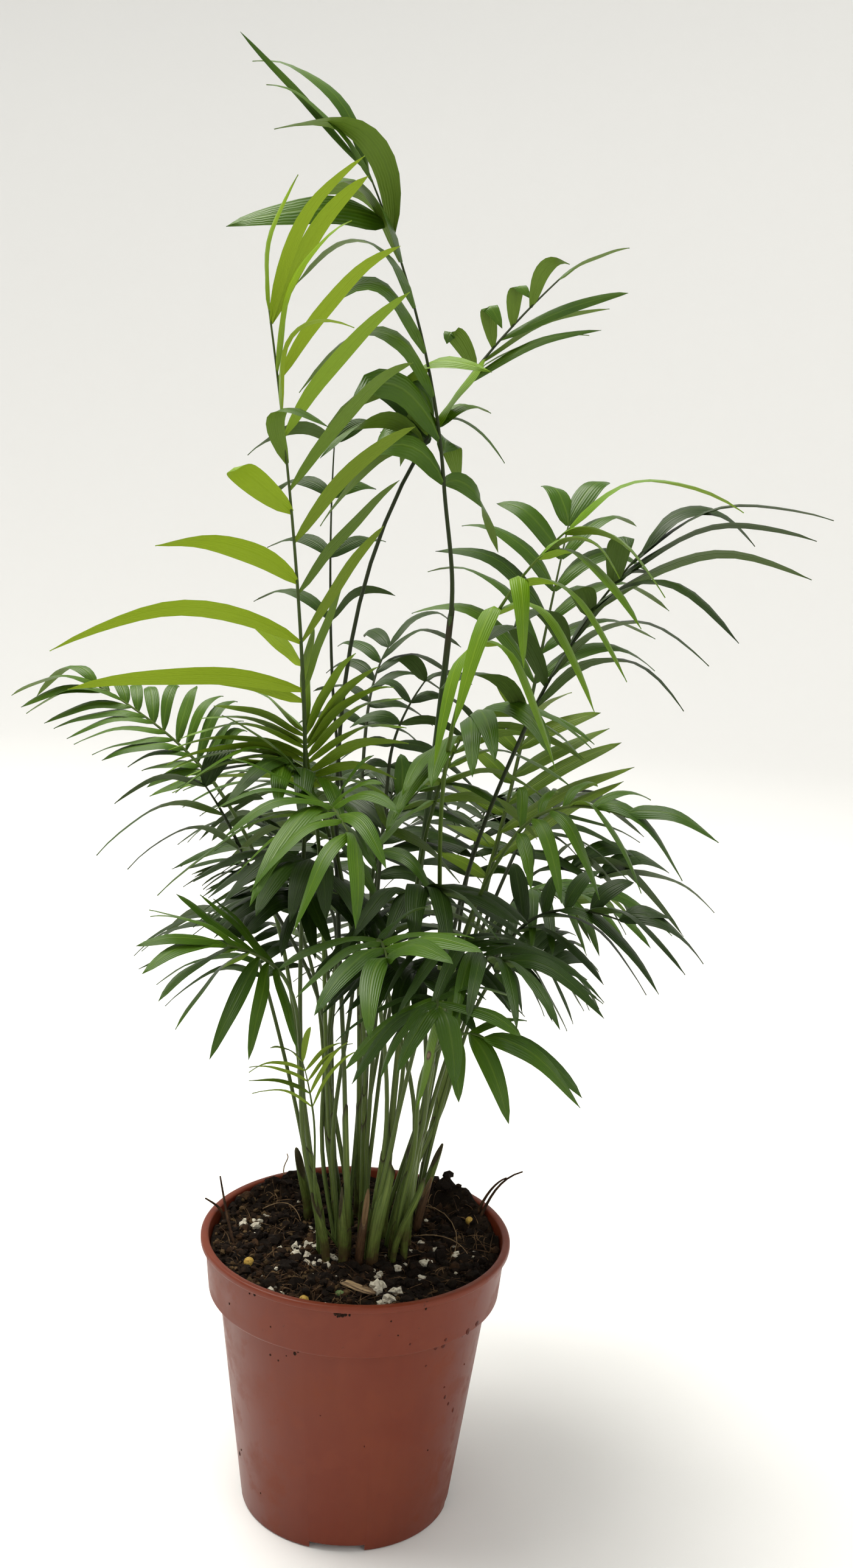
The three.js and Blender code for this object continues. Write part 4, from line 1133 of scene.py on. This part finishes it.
def strew_perlite(rng, blob):
    bm = bmesh.new()
    for cluster in PERLITE:
        for _ in range(cluster.count):
            x = rng.gauss(cluster.x, cluster.spread)
            y = rng.gauss(cluster.y, cluster.spread)
            if math.hypot(x, y) < SOIL_REACH - PERLITE_GRAIN.inset:
                size = cluster.size * rng.uniform(*PERLITE_GRAIN.size)
                lump(bm, blob, on_soil(x, y, PERLITE_GRAIN.above * size), size, rng)
    finished("perlite", bm, earth_material("perlite_white"), sharp=24)


def lay_beads():
    bm = bmesh.new()
    for x, y, size in FERTILISER:
        place = Matrix.Translation(on_soil(x, y, BEAD_ABOVE * size) * MM)
        bmesh.ops.create_icosphere(bm, subdivisions=3, radius=size * MM, matrix=place)
    finished("fertiliser_beads", bm, earth_material("bead_ochre"))


def lay_chip():
    bm = bmesh.new()
    start, end = (on_soil(x, y, CHIP_SIZE.above) for x, y in CHIP)
    along = (end - start).normalized()
    aside = along.cross(UP).normalized()
    steps = len(CHIP_ENDS) - 1
    sections = []
    for i, share in enumerate(CHIP_ENDS):
        centre = start.lerp(end, i / steps) + UP * math.sin(i) * CHIP_SIZE.wave
        across = aside * CHIP_SIZE.half_width * share
        sections.append(Section(centre, across, along.cross(aside) * CHIP_SIZE.half_height * share))
    stamp(bm, rod_template(CHIP_SIZE.sides, steps), sections)
    finished("bark_chip", bm, bark_material())


def lay_moss(rng, blob):
    bm = bmesh.new()
    lump(bm, blob, on_soil(*MOSS.place, MOSS.above), MOSS.size, rng, MOSS.squash)
    finished("moss_bit", bm, earth_material("moss"))


def lay_strands(thread):
    for name, (look, rows) in STRANDS.items():
        bm = bmesh.new()
        for points, radius, tip in rows:
            strand(bm, thread, points, radius, tip)
        finished(name, bm, earth_material(look))


def make_debris():
    rng = random.Random(SEEDS.soil)
    blob = ball_template(2)
    thread = rod_template(THREAD.sides, THREAD.steps)
    strew_crumbs(rng)
    strew_fibres(rng, thread)
    strew_perlite(rng, blob)
    lay_beads()
    lay_chip()
    lay_moss(rng, blob)
    lay_strands(thread)


# ---- canes and their sheaths -------------------------------------------------

# As shares of a cane: where its lowest sheath starts and where that one may end, above
# which height a frond has a sheath, and how far down into the last one each starts.
# A sheath is thicker than its cane by thin at its foot and thick * grow at its mouth,
# which is cut aslant from slant_from on.  A stub has a waist and swells in the middle.
SHEATH = Sizes(
    sides=16, steps=16, foot=-0.02, first=(0.14, 0.24), lowest=0.25, overlap=0.05,
    thin=0.12, thick=(0.75, 1.1), grow=0.32, slant=(2.5, 7), last_slant=0.6, slant_from=0.6,
    stub_foot=-0.04, waist=0.88, swell=0.1,
)
MOUTH = (1, 0.88, 0.45)     # the radius of a sheath's last rings, as shares


def sheath_rings():
    """For each ring of a sheath, how far along it stands and its share of the radius."""
    last = SHEATH.steps + 1 - len(MOUTH)
    body = [(i / last, 1) for i in range(last)]
    return body + [(1, share) for share in MOUTH]


RINGS = sheath_rings()

# An old sheath apart from its cane: foot and mouth, radius at both, how far its
# mouth is cut aslant, and which way that cut faces.
Stub = namedtuple("Stub", "foot top foot_radius mouth_radius slant facing")
GREEN_STUBS = [
    Stub((6.5, -17.0), (11.8, -14.5, 146), 2.5, 2.8, 3.4, 200),
    Stub((18.5, -11.5), (20.2, -11.0, 152), 1.7, 2.6, 3.0, 20),
    Stub((-4.5, -16.5), (-6.2, -17.5, 131), 2.1, 1.1, 6.0, 40),
    Stub((-11.0, -16.0), (-15.5, -16.5, 129), 1.8, 1.5, 5.0, 150),
    Stub((-19.5, 20.0), (-23.5, 17.0, 131), 2.0, 1.8, 6.0, 120),
    Stub((14.5, -14.5), (24.0, -16.5, 138), 1.3, 1.3, 4.0, 240),
    Stub((25.0, 22.0), (31.0, 22.0, 134), 1.9, 1.6, 5.0, 30),
]
BROWN_STUBS = [
    Stub((1.6, -16.0), (3.4, -16.5, 129), 1.9, 1.2, 7.0, 90),
    Stub((24.0, 12.0), (27.5, 14.0, 124), 1.8, 1.4, 4.0, 30),
    Stub((-14.0, 8.0), (-16.0, 6.0, 122), 1.7, 1.2, 4.0, 160),
]


def path_between(foot, top):
    """The middle line of a cane that stands up from the soil and leans to its top."""
    start = Vector((*foot, soil_top(*foot) + CLEARANCE))
    end = Vector(top)
    rise = (end.z - start.z) / 3
    return [start, start + UP * rise, end.lerp(start, 1 / 3), end]


def cane_radius(t):
    return mix(CANE.foot_radius, CANE.top_radius, math.sqrt(t))


CANE_PATHS = {name: path_between(*cane) for name, cane in CANES.items()}


def sheath(bm, template, path, low, high, radius_at, slant, facing):
    """A sleeve round a cane from low to high, with a mouth that is cut aslant.

    radius_at holds its radius at each of the RINGS.
    """
    facing = math.radians(facing)
    sections = []
    for (s, share), radius in zip(RINGS, radius_at):
        t = mix(low, high, s)
        along = heading(path, t)
        across = (Vector((1, 0, 0)) - along * along.x).normalized()
        up = along.cross(across)
        r = radius * share
        tilt = along * slant * smooth((s - SHEATH.slant_from) / (1 - SHEATH.slant_from))
        across, up = across * r + tilt * math.cos(facing), up * r + tilt * math.sin(facing)
        sections.append(Section(bezier(path, t), across, up))
    stamp(bm, template, sections)


def make_bare_canes():
    bm = bmesh.new()
    template = rod_template(CANE.sides, CANE.steps)
    shares = [i / CANE.steps for i in range(CANE.steps + 1)]
    radii = [CANE.slim * cane_radius(s) for s in shares]
    for path in CANE_PATHS.values():
        spine = [bezier(path, s) for s in shares]
        spine[0] -= UP * CANE.sunk
        rod(bm, template, spine, radii)
    green = cane_material("cane_green", CANE_COLOURS.high, CANE_COLOURS.high_deep, dry_share=0.16)
    finished("canes", bm, green, CANES)


def add_cane_sheaths(bm, template):
    """The sheaths of each cane, one above the other up to its top."""
    rng = random.Random(SEEDS.sheaths)
    for name, path in CANE_PATHS.items():
        leaving = sorted(f.at for f in FRONDS if f.stem == name and SHEATH.lowest < f.at < 1)
        low = SHEATH.foot
        for mouth in [rng.uniform(*SHEATH.first)] + leaving + [1.0]:
            thick = rng.uniform(*SHEATH.thick) * SHEATH.grow
            radius_at = []
            for s, _ in RINGS:
                inner = CANE.slim * cane_radius(max(0, mix(low, mouth, s)))
                radius_at.append(inner + mix(SHEATH.thin, thick, s))
            slant = rng.uniform(*SHEATH.slant) * (SHEATH.last_slant if mouth == 1 else 1)
            sheath(bm, template, path, low, mouth, radius_at, slant, rng.uniform(0, 360))
            low = max(0, mouth - SHEATH.overlap)


def add_stubs(bm, template, stubs):
    for stub in stubs:
        radius_at = [
            mix(stub.foot_radius, stub.mouth_radius, s * s)
            * (SHEATH.waist + SHEATH.swell * math.sin(math.pi * s))
            for s, _ in RINGS
        ]
        path = path_between(stub.foot, stub.top)
        sheath(bm, template, path, SHEATH.stub_foot, 1, radius_at, stub.slant, stub.facing)


def make_canes():
    make_bare_canes()
    template = rod_template(SHEATH.sides, SHEATH.steps)
    dead, green = bmesh.new(), bmesh.new()
    add_cane_sheaths(green, template)
    add_stubs(green, template, GREEN_STUBS)
    add_stubs(dead, template, BROWN_STUBS)
    finished("dead_sheaths", dead, sheath_material("sheath_dead", DEAD_SLEEVE))
    finished("cane_sheaths", green, sheath_material("sheath_green", GREEN_SLEEVE), CANES)


# ---- fronds ------------------------------------------------------------------

# How a frond is dressed: the tones of its leaflets and its stalk, the shares of their
# width, how far its leaflets turn level, whether they all keep their tone, and whether
# a finer one grows between each two.
Look = namedtuple(
    "Look", "tone stalk width slim turn steady filled",
    defaults=[None, None, 1, 1, BLADE.turn, False, False],
)
LOOKS = {
    "frond_tall": Look("fresh", "deep", turn=0.1, steady=True),
    # Its bright leaflets are partly their own paler young green and partly painted light shining
    # through them from behind.
    "frond_bright": Look("bright", "mid", width=0.85, turn=0.15, steady=True),
    "frond_thin": Look("deep", "dark", slim=0.8, turn=0.4),
    "frond_high_right": Look("fresh", "dark", turn=0.15, steady=True),
    "frond_light": Look("light", width=0.78, steady=True),
    # The olive of its leaflets is painted light that shines through them from behind; the frond
    # itself is mid green.
    "frond_inner_right": Look("olive"),
    "frond_right_front": Look("fresh", width=0.8),
    "frond_low_right_behind": Look(width=0.85),
    "frond_low_right_small": Look(filled=True),
    "frond_low_front_right": Look("fresh"),
    "frond_front_broad": Look(width=0.92),
    "frond_low_left": Look("fresh", width=0.88),
    "frond_seedling": Look("olive", width=0.65, slim=0.55, steady=True),
    "frond_left": Look("fresh", width=0.78, filled=True),
    "frond_center_front": Look("fresh", width=0.82),
    "frond_center_left": Look("light", filled=True),
    "frond_left_behind": Look(filled=True),
    "inner_07": Look("mid"),
    "inner_08": Look("fresh"),
    "inner_09": Look("deep", width=0.65),
    "inner_10": Look(width=0.8),
    "inner_11": Look(width=0.75),
    "inner_12": Look("mid", width=0.65),
}
# Leaflets apart from the rest of their frond, by number: their tone, or their width.
STRAY_TONES = {
    "frond_bright": {
        2: "fresh", 3: "olive", 4: "mid", 5: "olive", 6: "fresh", 7: "light", 12: "fresh",
    },
    "frond_high_right": {13: "light", 14: "light", 16: "deep", 18: "deep", 20: "deep"},
}
STRAY_WIDTHS = {
    "frond_tall": {9: 0.6, 13: 0.8},
    "frond_high_right": {4: 0.7, 5: 0.7, 6: 0.7, 7: 0.7},
}
# The tones from dark to light, and the share of leaflets that have a neighbour's.
LADDER = ["dark", "deep", "mid", "fresh"]
STRAYING = 0.3
# A finer leaflet between two others: its width as a share of theirs, and how far it
# is from the first to the second, at its root and at its tip.
FINE = Sizes(width=0.85, root=0.6, tip=0.35)
# Where a shoot stands in the soil: on which side of its cane, and how far in from it.
FOOT_SIDES = (-1, 1)
FOOT_SHARES = (0.2, 0.45, 0.7)
SPOTTED = ("frond_front_right", 9)      # the leaflet with a brown spot
SHARP_EDGE = 60     # degrees, of a leaflet


def stalk_curves(frond):
    """The petiole and the rib of a frond, and the way it leaves its cane."""
    path = CANE_PATHS[frond.stem]
    crown, bend, tip = (Vector(p) for p in frond.rib)
    lead, foot = heading(path, frond.at), bezier(path, frond.at)
    out = Vector()
    if frond.at < 1:
        out = ((crown - foot) * PLAN).normalized()
        out = (out - lead * out.dot(lead)).normalized()
        foot += out * (cane_radius(frond.at) + STALK.beside)
        lead = (lead + out * STALK.lean).normalized()
    reach = (foot - crown).length * STALK.pull
    aim = (bend - crown).normalized()
    return [foot, foot + lead * reach, crown - aim * reach, crown], [crown, bend, tip], out


def stalk(bm, template, frond, slim, index):
    """A shoot that stands in the soil beside its cane, with its petiole and its rib."""
    petiole, rib, out = stalk_curves(frond)
    path = CANE_PATHS[frond.stem]
    aside = out.cross(UP) * STALK.stray * FOOT_SIDES[index % len(FOOT_SIDES)]
    share = FOOT_SHARES[index % len(FOOT_SHARES)]
    inward = -path[0] * PLAN * share if frond.at < 1 else Vector()
    spine, radii = [], []
    for i in range(STALK.low_steps):
        s = i / STALK.low_steps
        t = s * frond.at
        apart = cane_radius(t) + STALK.beside
        spine.append(bezier(path, t) + out * apart + (inward + aside) * (1 - s) ** STALK.gather)
        radii.append(mix(STALK.low_radius, STALK.foot_radius, s))
    spine[0] -= UP * CANE.sunk
    for i in range(STALK.bare_steps):
        s = i / STALK.bare_steps
        spine.append(bezier(petiole, s))
        radii.append(mix(STALK.foot_radius, STALK.crown_radius, s ** STALK.taper))
    for i in range(STALK.rib_steps + 1):
        s = i / STALK.rib_steps
        spine.append(bezier(rib, s))
        radii.append(mix(STALK.crown_radius, STALK.tip_radius, s ** STALK.rib_taper))
    rod(bm, template, spine, [radius * slim for radius in radii])
    return rib


def grown_tip(tips, tip):
    """Where the solids have this leaflet's tip: in the first place that was free."""
    for nudge in NUDGES:
        moved = tip + Vector(nudge)
        if tips.find(moved)[2] < TIP_MATCH:
            return moved
    return tip


def tips_of(frond):
    """The vertices of a frond's solid, to find its leaflets' tips among."""
    vertices = NODES[frond.name].data.vertices
    tips = kdtree.KDTree(len(vertices))
    for i, vert in enumerate(vertices):
        tips.insert(vert.co / MM, i)
    tips.balance()
    return tips


def between(a, b):
    """A finer leaflet between two neighbours."""
    width = (a.width + b.width) / 2 * FINE.width
    at, tip = mix(a.at, b.at, FINE.root), a.tip.lerp(b.tip, FINE.tip)
    return Leaf(at, tip, max(a.rise, b.rise), 0, width)


def leaflets_of(frond, index, filled):
    """The leaflets of a frond by the rule of its solid, in the same order."""
    numbers = fixed_sequence(SEEDS.tips + index)
    tips = None if frond.even else tips_of(frond)
    found = []
    for side in (frond.left, frond.right):
        for i in range(side.count):
            share = i / (side.count - 1)
            scatter = Vector([next(numbers) for _ in range(3)]) * TIP_SPREAD
            rise = side.rise * (1 + RISE_SPREAD * next(numbers))
            tip = bezier(side.tips, share) + scatter
            if tips:
                tip = grown_tip(tips, tip)
            leaf = Leaf(mix(*side.span, share), tip, rise, 0, side.width * mix(*WIDTH_SPAN, share))
            if i and filled:
                found.append(between(found[-1], leaf))
            found.append(leaf)
    found += [leaf._replace(tip=grown_tip(tips, Vector(leaf.tip))) for leaf in frond.odd]
    if frond.name == HIGH_FROND:
        found += [leaf._replace(tip=Vector(leaf.tip)) for leaf in CROWN_LEAVES]
        for number, leaf in FOLDED_LEAVES.items():
            found[number] = leaf._replace(tip=Vector(leaf.tip))
    return found


def leaf_outline(s):
    """Half width of a leaflet along its length, as a share of its widest half."""
    turn = math.pi * (BLADE.blunt + (1 - BLADE.blunt) * s ** BLADE.lead)
    return math.sin(turn) ** BLADE.fullness


def blade(bm, template, rib, leaf, width, turn, rng):
    """A leaflet: a thin folded blade that arches from its root on the rib to its tip.

    It grows from the rib's own plane and turns level by the share turn.
    """
    root, along = bezier(rib, leaf.at), heading(rib, leaf.at)
    chord = leaf.tip - root
    length = chord.length
    middle = root.lerp(leaf.tip, 0.5 - BLADE.early * leaf.rise)
    middle += Vector((leaf.sway, 0, leaf.rise)) * length
    middle += Vector([rng.gauss(0, BLADE.stray) for _ in range(3)]) * length
    line = [root, middle, leaf.tip]
    aim = heading(line, 0)
    level = chord.cross(UP).normalized()
    rooted = along - aim * along.dot(aim)
    if rooted.dot(level) < 0:
        level.negate()
    start = (rooted + level * BLADE.lift * turn / BLADE.turn).normalized()
    twist = rng.uniform(-BLADE.twist, BLADE.twist)
    phase = rng.uniform(0, math.tau)
    sections = []
    for i in range(BLADE.steps + 1):
        s = i / BLADE.steps
        tangent = heading(line, s)
        axis = start.lerp(level, turn * s)
        axis = (axis - tangent * axis.dot(tangent)).normalized()
        axis.rotate(Matrix.Rotation(twist * s, 3, tangent))
        normal = tangent.cross(axis)
        half = max(width / 2 * leaf_outline(s), BLADE.point)
        wave = BLADE.ripple * length * math.sin(phase + BLADE.waves * s) * s * (1 - s) * 4
        fold = -mix(BLADE.root_fold, BLADE.fold, smooth(BLADE.unfold * s)) * half
        centre = bezier(line, s) + normal * (wave - fold * BLADE.sink)
        sections.append(Section(centre, axis * half, normal * BLADE.thickness / 2, normal * fold))
    if sections[BLADE.steps // 2].up.z < 0:
        over = 2 * BLADE.sink
        sections = [Section(c + f * over, -a, -u, -f) for c, a, u, f in sections]
    stamp(bm, template, sections)


def near_tone(tone, rng):
    """This tone or, now and then, the next one on the ladder of tones."""
    step = rng.choice((-1, 1)) if rng.random() < STRAYING else 0
    if tone not in LADDER:
        return tone
    return LADDER[min(max(LADDER.index(tone) + step, 0), len(LADDER) - 1)]


# Leaflets or stalks of one look, and the names of the fronds that they are of.
Batch = namedtuple("Batch", "bm owners")


def batches():
    """An empty batch for each tone."""
    return {tone: Batch(bmesh.new(), []) for tone in TONES}


def finish_batch(name, batch, material, sharp=None):
    """Makes a batch a piece that stands for those of its fronds that are nodes."""
    nodes = [owner for owner in dict.fromkeys(batch.owners) if owner in NODES]
    finished(name, batch.bm, material, nodes, sharp)


def make_fronds():
    blade_mesh = rod_template(BLADE.around, BLADE.steps, blade=True)
    stalk_mesh = rod_template(STALK.sides, STALK.low_steps + STALK.bare_steps + STALK.rib_steps)
    leaves, stalks, spotted = batches(), batches(), Batch(bmesh.new(), [])
    for index, frond in enumerate(FRONDS + INNER_FRONDS):
        rng, pick = random.Random(SEEDS.blades + index), random.Random(SEEDS.tones + index)
        look = LOOKS.get(frond.name, Look())
        tone = look.tone or frond.tone
        stray_tones = STRAY_TONES.get(frond.name, {})
        stray_widths = STRAY_WIDTHS.get(frond.name, {})
        batch = stalks[look.stalk or tone]
        batch.owners.append(frond.name)
        rib = stalk(batch.bm, stalk_mesh, frond, look.slim, index)
        for number, leaf in enumerate(leaflets_of(frond, index, look.filled)):
            leaf_tone = stray_tones.get(number, tone)
            if (frond.name, number) == SPOTTED:
                batch = spotted
            elif look.steady:
                batch = leaves[leaf_tone]
            else:
                batch = leaves[near_tone(leaf_tone, pick)]
            batch.owners.append(frond.name)
            width = leaf.width * stray_widths.get(number, look.width)
            blade(batch.bm, blade_mesh, rib, leaf, width, look.turn, rng)
    for name, tone in TONES.items():
        green = leaf_material("leaf_" + name, tone)
        finish_batch("leaflets_" + name, leaves[name], green, SHARP_EDGE)
        if stalks[name].owners:
            green = cane_material("stalk_" + name, tone.stalk, tone.stalk_deep, dry_share=0.08)
            finish_batch("stalks_" + name, stalks[name], green)
    brown = spotted_material("leaf_spotted", TONES["light"])
    finish_batch("leaflet_spotted", spotted, brown, SHARP_EDGE)


# ---- stage -------------------------------------------------------------------

CAMERA = Sizes(place=(0, -615.9, 416.0), pitch=11.62, yaw=1.74, roll=2.86, lens=39.23, sensor=36)
# The colours of the stage and of its lamps are linear, from 0 to 1.
STAGE = Sizes(
    radius=2600, height=3000, bend=900, bend_steps=12, steps=96,
    pale=(0.86, 0.865, 0.87, 1), sky=(1, 0.98, 0.92, 1), sky_strength=0.6,
)
# A lamp: its place, what it lights and its size, all in metres, and its power.
Lamp = namedtuple("Lamp", "name place target size power")
LAMPS = [
    Lamp("window", (-0.45, 0.2, 1.7), (0, 0, 0.3), 1.3, 42),
    Lamp("fill", (1.1, -1.2, 1.2), (0, 0, 0.25), 1.0, 5),
]
LAMPLIGHT = (1, 0.97, 0.9)


def make_stage():
    """A pale floor that bends up into a wall all round."""
    profile = [(0, 0)]
    for i in range(STAGE.bend_steps + 1):
        a = math.pi / 2 * i / STAGE.bend_steps
        radius = STAGE.radius - STAGE.bend * (1 - math.sin(a))
        profile.append((radius, STAGE.bend * (1 - math.cos(a))))
    profile.append((STAGE.radius, STAGE.height))
    floor = placed("studio_floor", baked("studio_floor", lathe(profile, STAGE.steps)))
    smoothed(floor.data, sharp=None)
    material, _, shader = plain("studio_pale", 0.9)
    shader["Base Color"].default_value = STAGE.pale
    floor.data.materials.append(material)


def make_lamp(lamp):
    data = bpy.data.lights.new(lamp.name, "AREA")
    data.shape = "DISK"
    data.size = lamp.size
    data.energy = lamp.power
    data.color = LAMPLIGHT
    thing = placed(lamp.name, data)
    thing.location = lamp.place
    aim = Vector(lamp.target) - Vector(lamp.place)
    thing.rotation_euler = aim.to_track_quat("-Z", "Y").to_euler()


def make_camera():
    pitch, yaw, roll = (math.radians(a) for a in (CAMERA.pitch, CAMERA.yaw, CAMERA.roll))
    level = Vector((math.sin(yaw), math.cos(yaw), 0))
    ahead = level * math.cos(pitch) - UP * math.sin(pitch)
    right = level.cross(UP)
    over = right.cross(ahead)
    across = right * math.cos(roll) + over * math.sin(roll)
    upward = over * math.cos(roll) - right * math.sin(roll)
    turn = Matrix((across, upward, -ahead)).transposed()
    data = bpy.data.cameras.new("camera")
    data.lens = CAMERA.lens
    data.sensor_width = CAMERA.sensor
    camera = placed("camera", data)
    camera.matrix_world = Matrix.Translation(Vector(CAMERA.place) * MM) @ turn.to_4x4()
    bpy.context.scene.camera = camera


def make_world():
    world = bpy.data.worlds.new("studio")
    world.use_nodes = True
    background = world.node_tree.nodes["Background"].inputs
    background["Color"].default_value = STAGE.sky
    background["Strength"].default_value = STAGE.sky_strength
    bpy.context.scene.world = world
    bpy.context.scene.view_settings.view_transform = "Standard"


make_pot()
make_splashes()
make_soil()
make_debris()
make_canes()
make_fronds()
make_stage()
make_camera()
make_world()
for lamp in LAMPS:
    make_lamp(lamp)
